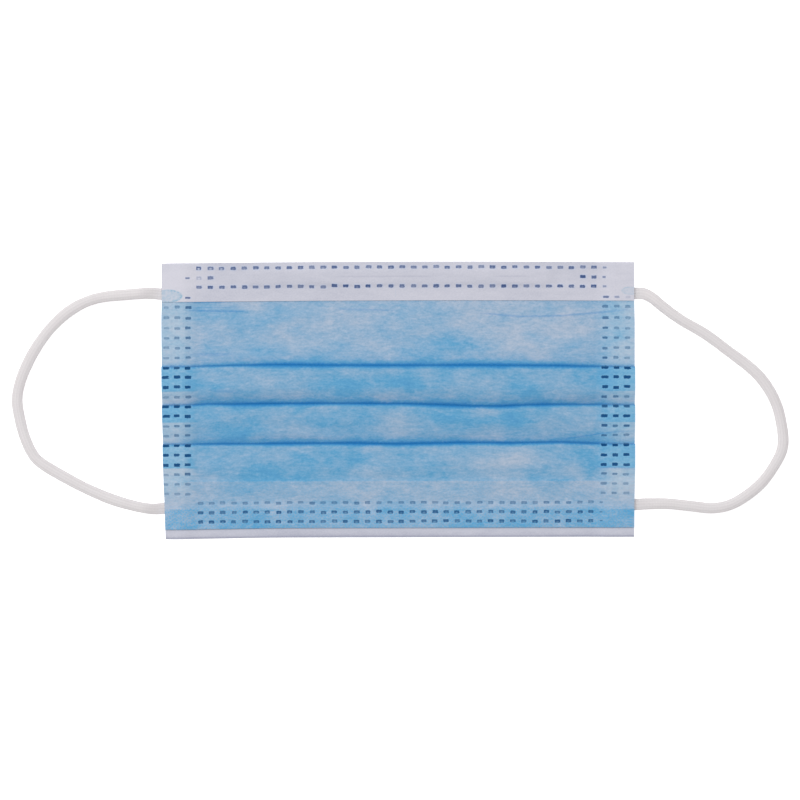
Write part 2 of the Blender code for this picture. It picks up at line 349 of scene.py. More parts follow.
@dataclass(frozen=True)
class FoldedCloth:
    """How the three plies are laid on each other and folded, as in their CAD solids.

    Attributes:
        ply: A ply's thickness in the solids.
        ply_gap: From one ply to the next.
        side_fold_gap: Between the layers of a pleat, at the welded sides.
        middle_fold_gap: The same in the middle, where the pleats spring open.
        middle_rise: How far the layers at a pleat's edge stand up in the middle.
        rise_run: Over what length the nose panel rises to the first pleat.
        slope_reach: How far from its corner a slope's rounding starts.
        side_lift: How far the sides lie over the cords' pressed ends.
        band_height: How far the inner ply comes down over the outer one.
        wire_below_edge: From the nose edge to the wire's middle.
        wire_width: The wire's width.
        wire_thickness: Its thickness.
        wire_side_run: Over what length the band comes down beside it; longer than in the solid,
            because soft cloth comes down slowly.
        wire_room: How far beside the wire the band is still level.
        chin_strip: How far the inner ply shows below the outer one.
        outer_hem: How far the outer ply is turned under itself.
        turn_up: How far the inner ply comes up behind the outer one.
        hem_flat: The flat stretch above the hem.
        ply_step: Over what length a ply climbs onto the edge of another.
    """

    ply: float = 0.3 * MM
    ply_gap: float = 0.1 * MM
    side_fold_gap: float = 0.2 * MM
    middle_fold_gap: float = 0.4 * MM
    middle_rise: float = 0.7 * MM
    rise_run: float = 9.0 * MM
    slope_reach: float = 1.5 * MM
    side_lift: float = 1.3 * MM
    band_height: float = 14.5 * MM
    wire_below_edge: float = 5.8 * MM
    wire_width: float = 3.0 * MM
    wire_thickness: float = 0.6 * MM
    wire_side_run: float = 1.6 * MM
    wire_room: float = 0.6 * MM
    chin_strip: float = 3.5 * MM
    outer_hem: float = 7.3 * MM
    turn_up: float = 21.0 * MM
    hem_flat: float = 3.0 * MM
    ply_step: float = 1.0 * MM

    @property
    def pitch(self) -> float:
        """From one ply's middle to the next one's."""
        return self.ply + self.ply_gap

    @property
    def wall(self) -> float:
        """The three plies' thickness together."""
        return 3 * self.ply + 2 * self.ply_gap

    @property
    def band_y(self) -> float:
        """Where the white band ends."""
        return NOSE_Y - self.band_height

    @property
    def hem_y(self) -> float:
        """Where the outer ply's hem ends, inside."""
        return CHIN_Y + self.chin_strip + self.outer_hem

    @property
    def chin_strip_y(self) -> float:
        """Where the outer ply ends and the white strip shows below it."""
        return CHIN_Y + self.chin_strip

    @property
    def turn_up_y(self) -> float:
        """How far up the inner ply reaches behind the outer one."""
        return CHIN_Y + self.turn_up

    def plies(self, lift: np.ndarray, puff: np.ndarray, wire: np.ndarray) -> dict[Ply, np.ndarray]:
        """Lays the middle lines of the three plies.

        Args:
            lift: For each column, the share of the rise over the cords' ends.
            puff: The share of the spring in the pleats.
            wire: The share of the ridge over the wire.

        Returns:
            For each ply its line's y and z, as columns, points and 2.
        """
        base = self.side_lift * lift + self.wall / 2
        spring = (self.middle_fold_gap - self.side_fold_gap) * puff
        level = self.wall + self.side_fold_gap + spring
        folded = rounded(self.corners(base, level, self.middle_rise * puff))
        on_turn_up = int(np.argmax(folded[0, :, 0] <= self.turn_up_y + SAME_SPOT))
        after = np.arange(folded.shape[1]) >= on_turn_up
        outer = beside(folded, self.pitch * (1.0 + after))
        inner = beside(folded, -self.pitch * np.ones(len(after)))
        turned_up = beside(folded, self.pitch * np.ones(len(after)))[:, on_turn_up:]
        filter_end = np.stack([np.full(len(base), CHIN_Y + self.pitch + self.ply / 2), base], -1)
        return {
            Ply.OUTER: np.concatenate([outer, self.hem(base)], axis=1),
            Ply.FILTER: np.concatenate([folded, filter_end[:, None]], axis=1),
            Ply.INNER: np.concatenate(
                [self.band(base, wire), inner, self.chin(base), turned_up[:, ::-1]], axis=1
            ),
        }

    def corners(self, base: np.ndarray, level: np.ndarray, rise: np.ndarray) -> list[Corner]:
        """Lists the corners of the folded cloth's middle line.

        Args:
            base: The height of the lowest layer.
            level: The step from one layer of a pleat to the next.
            rise: How far the layers stand up at a pleat's edge.

        Returns:
            The corners, from the nose edge down.
        """
        fold = level / 2
        nose_start = NOSE_Y - 1.5 * self.pitch - self.ply / 2
        corners = [(nose_start, base, 0), (PLEATS[0].edge_y + self.rise_run, base, self.slope_reach)]
        for pleat in PLEATS:
            edge, hidden = pleat.edge_y - self.wall / 2, pleat.hidden_y + self.wall / 2
            corners += [
                (pleat.edge_y + self.ply, base + rise, self.slope_reach),
                (hidden, base, fold),
                (hidden, base + level, fold),
                (edge, base + rise + level, fold),
                (edge, base + rise + 2 * level, fold),
                (hidden, base + 2 * level, self.slope_reach),
            ]
        panel_y, panel_z = corners[-1][:2]
        flat_y = self.hem_y + self.hem_flat
        slope = (panel_z - base) / (panel_y - flat_y)
        for y in (self.turn_up_y + self.ply_step, self.turn_up_y):
            corners.append((y, base + (y - flat_y) * slope, 0))
        return corners + [(flat_y, base, self.slope_reach), (self.hem_y + self.ply_step, base, 0)]

    def hem(self, base: np.ndarray) -> np.ndarray:
        """Turns the outer ply's chin end under itself.

        Args:
            base: The height of the lowest layer at each column.

        Returns:
            The hem's line, as columns, points and 2.
        """
        fold = self.ply + self.side_fold_gap
        under = base + 2 * self.pitch
        edge = self.chin_strip_y + self.ply / 2
        return rounded(
            [
                (self.hem_y, under + fold, 0),
                (edge, under + fold, fold / 2),
                (edge, under, fold / 2),
                (self.hem_y - self.pitch, under, 0),
            ]
        )

    def band(self, base: np.ndarray, wire: np.ndarray) -> np.ndarray:
        """Brings the inner ply over the wire and round the nose edge.

        Args:
            base: The height of the lowest layer at each column.
            wire: The share of the ridge over the wire.

        Returns:
            The band's line, as columns, points and 2.
        """
        front, back = base + 2 * self.pitch, base - self.pitch
        over_wire = front + (self.wire_thickness + self.ply_gap) * wire
        edge, turn = NOSE_Y - self.ply / 2, 1.5 * self.pitch
        wire_y, half = NOSE_Y - self.wire_below_edge, self.wire_width / 2 + self.wire_room
        run, soft = self.wire_side_run, self.wire_side_run * 0.4
        return rounded(
            [
                (self.band_y, front, 0),
                (wire_y - half - run, front, soft),
                (wire_y - half, over_wire, soft),
                (wire_y + half, over_wire, soft),
                (wire_y + half + run, front, soft),
                (edge, front, turn),
                (edge, back, turn),
                (self.band_y, back, 0),
            ]
        )[:, :-2]

    def chin(self, base: np.ndarray) -> np.ndarray:
        """Turns the inner ply up at the chin edge.

        Args:
            base: The height of the lowest layer at each column.

        Returns:
            The turn's line, as columns, points and 2.
        """
        edge = CHIN_Y + self.ply / 2
        return rounded(
            [
                (self.hem_y, base - self.pitch, 0),
                (edge, base - self.pitch, self.pitch),
                (edge, base + self.pitch, self.pitch),
                (self.hem_y, base + self.pitch, 0),
            ]
        )[:, 1:-1]


@dataclass(frozen=True)
class Stations:
    """Where along the width the section changes, as in the CAD solids.

    Attributes:
        cord_held: Outside this the sides lie over the cords' ends.
        welded: Outside this the pleats are welded flat.
        band_down: Outside this the band is down on the outer ply.
        wire_end: Where the wire ends.
    """

    cord_held: float = HALF_WIDTH - 8.0 * MM
    welded: float = HALF_WIDTH - 13.0 * MM
    band_down: float = 58.3 * MM
    wire_end: float = 55.3 * MM

    def shares(self, x: np.ndarray) -> tuple[np.ndarray, np.ndarray, np.ndarray]:
        """Gives the section's three shares at each column.

        Args:
            x: Where the columns are at the nose edge.

        Returns:
            The shares of lift, puff and wire.
        """
        out = np.abs(x)
        half_sprung = (self.welded + self.band_down) / 2
        lift = np.interp(out, [self.welded, self.cord_held], [0.0, 1.0])
        marks = [self.wire_end, self.band_down, half_sprung, self.welded]
        puff = np.interp(out, marks, [1.0, 0.9, 0.6, 0.0])
        wire = np.interp(out, [self.wire_end, self.band_down], [1.0, 0.0])
        return lift, puff, wire


@dataclass(frozen=True)
class Run:
    """An even run of lines: where it starts, the step to the next one and how many there are."""

    start: float
    step: float
    count: int

    def places(self) -> list[float]:
        """Returns the places of the run's lines."""
        return [self.start + self.step * number for number in range(self.count)]


@dataclass(frozen=True)
class WeldBlock:
    """Welds that look alike.

    Attributes:
        columns: The columns of welds that it covers.
        rows: The rows of welds that it covers.
        tone: How dark the welds are, from 0 to 1.
        ring: How far their middles stay light, from 0 to 1.
        size: Their width and height, as shares of a whole one's.
        aside: How far along X they stand off their column.
    """

    columns: Sequence[int]
    rows: Sequence[int]
    tone: float
    ring: float = 0.0
    size: tuple[float, float] = (1.0, 1.0)
    aside: float = 0.0


LEFT_SIDE, DOTS, RIGHT_SIDE = range(0, 3), range(3, 39), range(39, 42)
SIDE_ROWS, CHIN_ROWS = range(4, 24), range(24, 27)
LAYERED_ROWS = (*range(10, 13), *range(14, 16), *range(18, 21))
SINGLE, TRIPLE = (1.0, 0.78), (1.15, 0.95)  # the welds' sizes through one layer of blue and three


@dataclass
class WeldPattern:
    """The hot welds that hold the plies together: three columns at each side, two rows along the
    nose edge and three along the chin edge. The rows are straight runs on the cloth before its
    edges bow, and each column of dots runs from a place at the nose edge to one at the chin edge.

    Attributes:
        half_size: Half a weld's width and height.
        pressed_rim: Over what length the cloth goes down at a weld's rim.
        depth: How deep a weld is pressed.
        nose_columns: The columns' places at the nose edge.
        chin_columns: Their places at the chin edge.
        row_runs: The rows' places.
        blocks: The welds' looks; a later block overrules an earlier one.
        seed: Where the small differences between the welds start from.
        rows: Each row's y.
        tone: How dark each weld is.
        ring: How light its middle is.
        scale: Its width and height, as shares of a whole one's.
        shift: How far it stands off its place, in x and y.
    """

    half_size: tuple[float, float] = (1.05 * MM, 0.7 * MM)
    pressed_rim: float = 0.24 * MM
    depth: float = 0.12 * MM
    nose_columns: tuple[Run, ...] = (
        Run(-86.0 * MM, 4.0 * MM, 3),
        Run(-73.96 * MM, 4.190 * MM, 36),
        Run(77.2 * MM, 4.12 * MM, 3),
    )
    chin_columns: tuple[Run, ...] = (
        Run(-86.0 * MM, 4.0 * MM, 3),
        Run(-73.34 * MM, 4.135 * MM, 36),
        Run(75.75 * MM, 4.13 * MM, 3),
    )
    row_runs: tuple[Run, ...] = (
        Run(48.85 * MM, -3.5 * MM, 3),
        Run(37.9 * MM, -3.65 * MM, 1),
        Run(34.56 * MM, -3.70 * MM, 7),
        Run(8.75 * MM, -3.61 * MM, 13),
        Run(-38.06 * MM, -3.47 * MM, 3),
    )
    blocks: tuple[WeldBlock, ...] = (
        WeldBlock(DOTS, (0,), 0.84, 0.25),
        WeldBlock(DOTS, (2,), 0.90, 0.2),
        WeldBlock(range(3, 6), (0,), 0.85, 1.0),
        WeldBlock((39,), range(0, 3), 0.6, 0.0, (0.6, 0.7), -0.6 * MM),
        WeldBlock((2,), (1,), 0.8, 0.0, (0.7, 0.5)),
        WeldBlock((3,), (1,), 0.35, 1.0),
        WeldBlock((4,), (1,), 0.8, 0.4),
        WeldBlock(range(37, 39), (1,), 0.95),
        WeldBlock((2,), (3,), 0.9, 0.0, (1.0, 0.6)),
        WeldBlock((39,), (3,), 0.8, 0.0, (1.0, 0.7)),
        WeldBlock((40,), (3,), 0.5, 0.0, (0.8, 0.7)),
        WeldBlock((41,), (3,), 0.2, 0.0, (0.8, 0.7)),
        WeldBlock((0,), SIDE_ROWS, 0.45, 0.3, SINGLE),
        WeldBlock((1,), SIDE_ROWS, 0.60, 0.2, SINGLE),
        WeldBlock((2,), SIDE_ROWS, 0.74, 0.1, SINGLE),
        WeldBlock((39,), SIDE_ROWS, 0.74, 0.1, SINGLE),
        WeldBlock((40,), SIDE_ROWS, 0.62, 0.2, SINGLE),
        WeldBlock((41,), SIDE_ROWS, 0.52, 0.3, SINGLE),
        WeldBlock((*LEFT_SIDE, *RIGHT_SIDE), LAYERED_ROWS, 1.1, 0.0, TRIPLE),
        WeldBlock(RIGHT_SIDE, range(14, 16), 1.0, 0.0, TRIPLE),
        WeldBlock(RIGHT_SIDE, (16,), 0.85, 0.1, (1.05, 0.85)),
        WeldBlock(LEFT_SIDE, range(22, 24), 0.46, 0.1, SINGLE),
        WeldBlock(RIGHT_SIDE, range(22, 24), 0.48, 0.1, SINGLE),
        WeldBlock(DOTS, (24,), 0.58, 0.3, (1.0, 0.9)),
        WeldBlock(DOTS, range(25, 27), 0.84, 0.42),
        WeldBlock((39,), CHIN_ROWS, 0.5, 0.0, (0.6, 0.6), -0.6 * MM),
    )
    seed: int = 7
    rows: np.ndarray = field(init=False)
    tone: np.ndarray = field(init=False)
    ring: np.ndarray = field(init=False)
    scale: np.ndarray = field(init=False)
    shift: np.ndarray = field(init=False)

    def __post_init__(self) -> None:
        """Sets out the table of welds, with the small differences between them."""
        chance = np.random.default_rng(self.seed)
        self.rows = np.array([place for run in self.row_runs for place in run.places()])
        shape = (RIGHT_SIDE.stop, len(self.rows))
        self.tone, self.ring, aside = np.zeros(shape), np.zeros(shape), np.zeros(shape)
        size = np.ones((*shape, 2))
        for block in self.blocks:
            part = np.ix_(block.columns, block.rows)
            self.tone[part], self.ring[part] = block.tone, block.ring
            size[part] = block.size
            aside[part] = block.aside
        self.tone *= chance.uniform(0.82, 1.12, shape)
        self.ring *= chance.uniform(0.3, 1.3, shape)
        self.scale = chance.uniform(0.86, 1.08, (*shape, 2)) * size
        self.shift = chance.normal(0.0, 0.09 * MM, (*shape, 2))
        self.shift[..., 0] += aside

    def column_x(self, below_nose: np.ndarray | float) -> np.ndarray:
        """Finds the columns of welds.

        Args:
            below_nose: The share of the way from the nose edge to the chin edge.

        Returns:
            Their x, with the columns along the first axis.
        """
        nose = np.array([place for run in self.nose_columns for place in run.places()])
        chin = np.array([place for run in self.chin_columns for place in run.places()])
        return nose + (chin - nose) * below_nose

    def row_stops(self) -> np.ndarray:
        """Returns the y of each grid line that bounds a weld or its pressed middle."""
        half, rim = self.half_size[1], self.pressed_rim
        return np.concatenate([self.rows + out for out in (half, half - rim, rim - half, -half)])

    def column_stops(self, below_nose: float) -> np.ndarray:
        """Sets out the grid lines along the mask's height.

        Args:
            below_nose: 0 for their places at the nose edge, 1 for those at the chin edge.

        Returns:
            The x of every line, the sides among them.
        """
        centres = self.column_x(below_nose)
        half, rim = self.half_size[0], self.pressed_rim
        around = [centres + out for out in (-half, rim - half, half - rim, half)]
        return np.sort(np.concatenate([*around, [-HALF_WIDTH, HALF_WIDTH]]))

    def nearest(self, x: np.ndarray, y: np.ndarray) -> tuple[np.ndarray, np.ndarray]:
        """Finds the weld that each grid line is nearest to.

        Args:
            x: The x of the lines along the height, at the nose edge.
            y: The y of the lines along the width.

        Returns:
            The column of welds for each x, and the row of welds for each y.
        """
        columns = np.abs(x[:, None] - self.column_x(0.0)[None]).argmin(axis=1)
        return columns, np.abs(y[:, None] - self.rows[None]).argmin(axis=1)

    def local(
        self, x: np.ndarray, y: np.ndarray, columns: np.ndarray, rows: np.ndarray
    ) -> tuple[np.ndarray, np.ndarray]:
        """Measures from a weld's middle, in halves of its size.

        Args:
            x: Where the points are across the mask.
            y: Where they are along it.
            columns: The column of each point's weld.
            rows: The row of each point's weld.

        Returns:
            The distances across and along, 1 at the weld's rim.
        """
        nose, chin = self.column_x(0.0)[columns], self.column_x(1.0)[columns]
        middle_x = nose + (chin - nose) * share_down(y) + self.shift[columns, rows, 0]
        middle_y = self.rows[rows] + self.shift[columns, rows, 1]
        size = self.scale[columns, rows]
        across = (x - middle_x) / (self.half_size[0] * size[..., 0])
        return across, (y - middle_y) / (self.half_size[1] * size[..., 1])


@dataclass(frozen=True)
class ShownRun:
    """A stretch of a folded ply that shows from outside.

    Attributes:
        number: How many times the line has turned down again before it.
        falling: Whether the line runs towards the chin edge here.
        low: The lowest y that shows.
        high: The highest y that shows.
        pressed: Which way the welds press it: -1 towards the face, 1 away from it.
    """

    number: int
    falling: bool
    low: float
    high: float
    pressed: int


@dataclass(frozen=True)
class CreaseShade:
    """A crease that the cloth has kept from its packing, on a shown stretch, drawn only as painted
    shade: a soft dark line.

    Attributes:
        run: The number of the shown stretch.
        points: Its x and y, from left to right, in millimetres.
        strength: How dark its painted shade is, from 0 to 1.
        half_width: Half its width, in metres.
    """

    run: int
    points: tuple[tuple[float, float], ...]
    strength: float
    half_width: float = 0.5 * MM


@dataclass(frozen=True)
class Patch:
    """A cloudy patch where the fibres lie thicker or thinner than elsewhere.

    Attributes:
        centre: Its x and y, in millimetres.
        size: Half its width and height, in millimetres.
        amount: How much bluer it is; below 0 it is greyer.
    """

    centre: tuple[float, float]
    size: tuple[float, float]
    amount: float


@dataclass
class Ripples:
    """Slow waves over a surface, from a fixed seed: long across the mask and short along it."""

    seed: int
    along_width: float
    along_height: float
    waves: int = 26

    def at(self, x: np.ndarray, y: np.ndarray) -> np.ndarray:
        """Gives the waves' height.

        Args:
            x: Where the points are across the mask.
            y: Where they are along the cloth.

        Returns:
            Heights with a mean of about 0 and a spread of about 1.
        """
        chance = np.random.default_rng(self.seed)
        total = np.zeros(np.broadcast(x, y).shape)
        for _ in range(self.waves):
            across, along, start = chance.normal(), chance.normal(), chance.uniform(0, math.tau)
            phase = across * x / self.along_width + along * y / self.along_height
            total += np.cos(math.tau * phase * 0.6 + start)
        return total * math.sqrt(2.0 / self.waves)


@dataclass
class GridLines:
    """A ply's middle line with the points that its welds and colours need.

    Attributes:
        line: Its y and z, as columns, points and 2.
        cell_shown: For each step between two points, the number of its shown run, or -1.
        length: How far along the cloth each point is.
        crests: For each column, where along the cloth the line turns down at each pleat's edge.
    """

    line: np.ndarray
    cell_shown: np.ndarray
    length: np.ndarray
    crests: np.ndarray


def cuts(start: np.ndarray, end: np.ndarray, lines: Sequence[float]) -> list[np.ndarray]:
    """Finds where one step of a line crosses grid lines.

    Args:
        start: The step's first y and z at each column.
        end: Its last ones.
        lines: The y of the grid lines that may cross it.

    Returns:
        Shares of the step, from 0 to 1, each for every column.
    """
    middle = len(start) // 2
    low, high = sorted((start[middle, 0], end[middle, 0]))
    crossed = sorted(
        {line for line in lines if low + LEAST_STEP < line < high - LEAST_STEP},
        reverse=bool(end[middle, 0] < start[middle, 0]),
    )
    marks = [np.zeros(len(start))]
    for order, line in enumerate(crossed):
        share = (line - start[:, 0]) / (end[:, 0] - start[:, 0])
        marks.append(np.clip(share, 0.01 * (order + 1), 1.0 - 0.01 * (len(crossed) - order)))
    return [*marks, np.ones(len(start))]


def with_stops(
    line: np.ndarray, runs: Sequence[ShownRun], stops: np.ndarray, longest: tuple[float, float]
) -> GridLines:
    """Adds points to a line where the grid needs them.

    Args:
        line: Its y and z, as columns, points and 2.
        runs: The stretches that show.
        stops: The y of each grid line along the width, for the shown stretches.
        longest: The longest step on a shown stretch, and on a hidden one.

    Returns:
        The line with its points, and what each of them is.
    """
    middle = line[len(line) // 2, :, 0]
    falling = np.diff(middle) < 0
    number = np.cumsum(np.append(False, falling[1:] & ~falling[:-1]))
    points, cell_shown, crests = [line[:, 0]], [], []
    for index in range(len(falling)):
        if index and falling[index] and not falling[index - 1]:
            crests.append(len(cell_shown))
        here = {
            place: run
            for place, run in enumerate(runs)
            if (run.number, run.falling) == (number[index], falling[index])
        }
        ends = [edge for run in here.values() for edge in (run.low, run.high)]
        wanted = [s for s in stops if any(run.low < s < run.high for run in here.values())]
        start, end = line[:, index], line[:, index + 1]
        marks = cuts(start, end, [*wanted, *ends])
        for first, second in zip(marks, marks[1:]):
            halfway = (first + second)[len(line) // 2] / 2
            at = middle[index] + (middle[index + 1] - middle[index]) * halfway
            shown = next((p for p, run in here.items() if run.low < at < run.high), -1)
            span = (np.linalg.norm(end - start, axis=-1) * (second - first)).max()
            pieces = max(1, math.ceil(span / longest[shown < 0] - 0.1))
            for piece in range(1, pieces + 1):
                share = (first + (second - first) * piece / pieces)[:, None]
                points.append(start + (end - start) * share)
                cell_shown.append(shown)
    whole = np.stack(points, axis=1)
    steps = np.linalg.norm(np.diff(whole, axis=1), axis=-1)
    length = np.concatenate([np.zeros((len(line), 1)), np.cumsum(steps, axis=1)], axis=1)
    return GridLines(whole, np.array(cell_shown), length, length[:, crests])


@dataclass(frozen=True)
class NoiseLayer:
    """One size of unevenness in a fibre web.

    Attributes:
        across: Its size along the mask's width, in millimetres.
        along: Its size along the cloth's length, in millimetres.
        tint: How much it changes the colour.
        relief: How high it stands, in millimetres.
        detail: How many finer sizes it holds.
    """

    across: float
    along: float
    tint: float
    relief: float = 0.0
    detail: float = 3.0


@dataclass(frozen=True)
class SpunbondFinish:
    """Spunbond polypropylene: endless fibres laid down at random and bonded at points under a hot
    roller. It gives the eye a soft matt web in cloudy patches, thin where the light comes through
    and deep where fibres or layers lie over each other. Welds are the same plastic melted to a
    smooth film, so they are darker and a little shiny.

    Attributes:
        name: The material's name.
        bare: The web's colour where it is thin.
        dense: Its colour where the density is 1.
        deep: Its colour where the density is 2.
        line: The colour of the lines along folds, partly dyed layers and partly painted shade, and
            of the painted shade along creases.
        weld: The melted film's colour.
        halo: The web's colour close round a weld.
        imprint: The colour over a cord's end or pressed layers.
        layers: The sizes of the web's unevenness.
        bond_tint: How much denser the web looks at a bond.
        halo_share: How plain a weld's halo is.
        bond_pitch: From bond to bond, in millimetres; real ones are 0.8 mm apart, which is too
            fine to show at this size.
        bond_size: A bond's half-width, as a share of the pitch.
        bond_depth: How deep a bond lies, as a share of the relief.
        relief_mm: How high the web stands, in millimetres.
        roughness: The web's roughness.
        film_roughness: The film's.
        gloss: The specular level; loose fibres scatter nearly all light.
        sheen: The fibres' soft sheen.
        shade: How much lighter the web is where it lies low, and darker where it stands high.
        halo_tint: How much deeper the web is beside a fold's edge.
        halo_sides: Where that starts and is full, above the edge and below it, in half widths.
        line_rim: Where a line starts to fade and has gone, in half widths.
        line_fray: How far the fibres fray it.
        imprint_rims: Where an imprint's share is least, where it is 1, and the least: outside its
            rim and towards its middle.
        grain: Between which values of the fibres' noise an imprint grows to its full share.
        weld_box: Half a weld's size inside its round corners.
        weld_fray: How far the fibres fray its rim, across and along.
        weld_rim: Where its film starts to fade and has gone, from the box.
        halo_rim: The same for its halo.
        core_drop: How far below the middle its light core lies.
        core_rim: Where the light core starts to fade and has gone.
        core_light: How much of the film is gone in the core.
    """

    name: str
    bare: str
    dense: str
    deep: str
    line: str
    weld: str
    halo: str
    imprint: str
    layers: tuple[NoiseLayer, ...]
    bond_tint: float
    halo_share: float
    bond_pitch: float = 0.95
    bond_size: float = 0.30
    bond_depth: float = 0.4
    relief_mm: float = 0.05
    roughness: float = 0.9
    film_roughness: float = 0.55
    gloss: float = 0.12
    sheen: float = 0.02
    shade: float = 0.09
    halo_tint: float = 0.55
    halo_sides: tuple[tuple[float, float], ...] = ((2.6, 0.3), (-1.7, -0.3))
    line_rim: tuple[float, float] = (0.45, 1.45)
    line_fray: float = 0.7
    imprint_rims: tuple[tuple[float, float, float], ...] = ((1.04, 0.9, 0.0), (0.62, 0.9, 0.55))
    grain: tuple[float, float] = (0.38, 0.62)
    weld_box: tuple[float, float, float] = (0.6, 0.45, 0.0)
    weld_fray: tuple[float, float, float] = (0.7, 0.6, 0.0)
    weld_rim: tuple[float, float] = (0.22, 0.62)
    halo_rim: tuple[float, float] = (0.3, 1.3)
    core_drop: tuple[float, float, float] = (0.0, 0.3, 0.0)
    core_rim: tuple[float, float] = (0.2, 0.75)
    core_light: float = 0.85

    def make(self) -> bpy.types.Material:
        """Builds the material.

        Returns:
            The finished material.
        """
        even = {"IOR": 1.49, "Specular IOR Level": self.gloss, "Sheen Weight": self.sheen}
        material, add = start_material(self.name, {**even, "Sheen Roughness": 0.6})
        place = add("Attribute", None, "Vector", attribute_name="cloth_place")
        in_mm = add("VectorMath", {0: place, "Scale": 1 / MM}, operation="SCALE")
        blue, height = self.web(add, in_mm)
        blue = self.beside_lines(add, blue)
        bare = add("Mix", {0: blue, 6: linear(self.bare), 7: linear(self.dense)}, 2, **COLOURS)
        past = add("Math", {0: blue, 1: 1.0}, operation="SUBTRACT", use_clamp=True)
        colour = add("Mix", {0: past, 6: bare, 7: linear(self.deep)}, 2, **COLOURS)
        lit, shaded = 1.0 + self.shade, 1.0 - self.shade
        light = add("MapRange", {0: height, 1: 0.4, 2: 1.0, 3: lit, 4: shaded})
        colour = add("HueSaturation", {"Color": colour, "Value": light})
        colour = self.marked(add, colour, in_mm)
        colour, film = self.welded(add, colour, in_mm)
        rough = add("MapRange", {0: film, 3: self.roughness, 4: self.film_roughness})
        relief = {"Height": height, "Distance": self.relief_mm * MM, "Strength": 0.9}
        bump = add("Bump", relief)
        return linked(material, {"Base Color": colour, "Roughness": rough, "Normal": bump})

    def web(self, add: partial, in_mm: Socket) -> tuple[Socket, Socket]:
        """Builds the fibre web's unevenness.

        Args:
            add: Adds a node to the material.
            in_mm: The place on the cloth, in millimetres.

        Returns:
            How blue or dense the web is, and how high it stands.
        """
        blue = add("Attribute", None, "Fac", attribute_name="web_density")
        height: Any = 0.0
        for layer in self.layers:
            size = (1 / layer.across, 1 / layer.along, 1.0)
            scaled = add("VectorMath", {0: in_mm, 1: size}, operation="MULTIPLY")
            cloud = {"Vector": scaled, "Scale": 1.0, "Detail": layer.detail, "Distortion": 0.3}
            noise = add("TexNoise", cloud, "Fac")
            centred = {0: noise, 1: layer.tint, 2: -0.5 * layer.tint}
            tint = add("Math", centred, operation="MULTIPLY_ADD")
            blue = add("Math", {0: blue, 1: tint})
            if layer.relief:
                raised = {0: noise, 1: layer.relief / self.relief_mm, 2: height}
                height = add("Math", raised, operation="MULTIPLY_ADD")
        turned = {"Vector": in_mm, "Rotation": (0.0, 0.0, math.radians(45.0))}
        scale = (1 / self.bond_pitch, 1 / self.bond_pitch, 1.0)
        bonds = add("Mapping", {**turned, "Scale": scale}, vector_type="POINT")
        spots = {"Vector": bonds, "Scale": 1.0, "Randomness": 0.6}
        spot = add("TexVoronoi", spots, "Distance", voronoi_dimensions="2D")
        core, rim = self.bond_size * 0.6, self.bond_size * 1.3
        bond = add("MapRange", {0: spot, 1: core, 2: rim, 3: 1.0, 4: 0.0}, **EASED)
        amount = add("Attribute", None, "Fac", attribute_name="bonds")
        shown = add("Math", {0: bond, 1: amount}, operation="MULTIPLY")
        blue = add("Math", {0: shown, 1: self.bond_tint, 2: blue}, operation="MULTIPLY_ADD")
        height = add("Math", {0: shown, 1: -self.bond_depth, 2: height}, operation="MULTIPLY_ADD")
        return blue, height

    def beside_lines(self, add: partial, blue: Socket) -> Socket:
        """Deepens the web beside each fold's edge, where the layers lie closest.

        Args:
            add: Adds a node to the material.
            blue: How blue or dense the web is.

        Returns:
            The same, deeper above each line and a little below it.
        """
        marks = add("Attribute", None, "Vector", attribute_name="line_place")
        away = add("SeparateXYZ", {0: marks})
        halo = away.node.outputs["Y"]
        for start, end in self.halo_sides:
            near = add("MapRange", {0: away, 1: start, 2: end, 3: 0.0, 4: 1.0}, **EASED)
            halo = add("Math", {0: halo, 1: near}, operation="MULTIPLY")
        return add("Math", {0: halo, 1: self.halo_tint, 2: blue}, operation="MULTIPLY_ADD")

    def marked(self, add: partial, colour: Socket, in_mm: Socket) -> Socket:
        """Draws the fold lines and crease lines, which hold painted shade, and the cord ends'
        imprints.

        Args:
            add: Adds a node to the material.
            colour: The web's colour.
            in_mm: The place on the cloth, in millimetres.

        Returns:
            The colour with those marks.
        """
        ragged = add("TexNoise", {"Vector": in_mm, "Scale": 1.1, "Detail": 2.0}, "Fac")
        dark, gone = self.line_rim
        # Both marks paint shade: along fold edges on the blue ply over its dyed layers seen edge-on,
        # along creases shade alone.
        for name in ("line_place", "crease_shade_place"):
            marks = add("Attribute", None, "Vector", attribute_name=name)
            side = add("SeparateXYZ", {0: marks})
            away = add("Math", {0: side}, operation="ABSOLUTE")
            away = add("Math", {0: ragged, 1: self.line_fray, 2: away}, operation="MULTIPLY_ADD")
            near = add("MapRange", {0: away, 1: dark, 2: gone, 3: 1.0, 4: 0.0}, **EASED)
            amount = add("Math", {0: near, 1: side.node.outputs["Y"]}, operation="MULTIPLY")
            colour = add("Mix", {0: amount, 6: colour, 7: linear(self.line)}, 2, **COLOURS)
        place = add("Attribute", None, "Vector", attribute_name="imprint_place")
        plain = add("SeparateXYZ", {0: place}, "Z")
        flat = add("VectorMath", {0: place, 1: (1.0, 1.0, 0.0)}, operation="MULTIPLY")
        away = add("VectorMath", {0: flat}, "Value", operation="LENGTH")
        for start, end, least in self.imprint_rims:
            share = add("MapRange", {0: away, 1: start, 2: end, 3: least, 4: 1.0}, **EASED)
            plain = add("Math", {0: plain, 1: share}, operation="MULTIPLY")
        least, most = self.grain
        grain = add("MapRange", {0: ragged, 1: least, 2: most, 3: 0.45, 4: 1.0})
        grain = add("Math", {0: grain, 1: plain}, operation="MULTIPLY")
        return add("Mix", {0: grain, 6: colour, 7: linear(self.imprint)}, 2, **COLOURS)

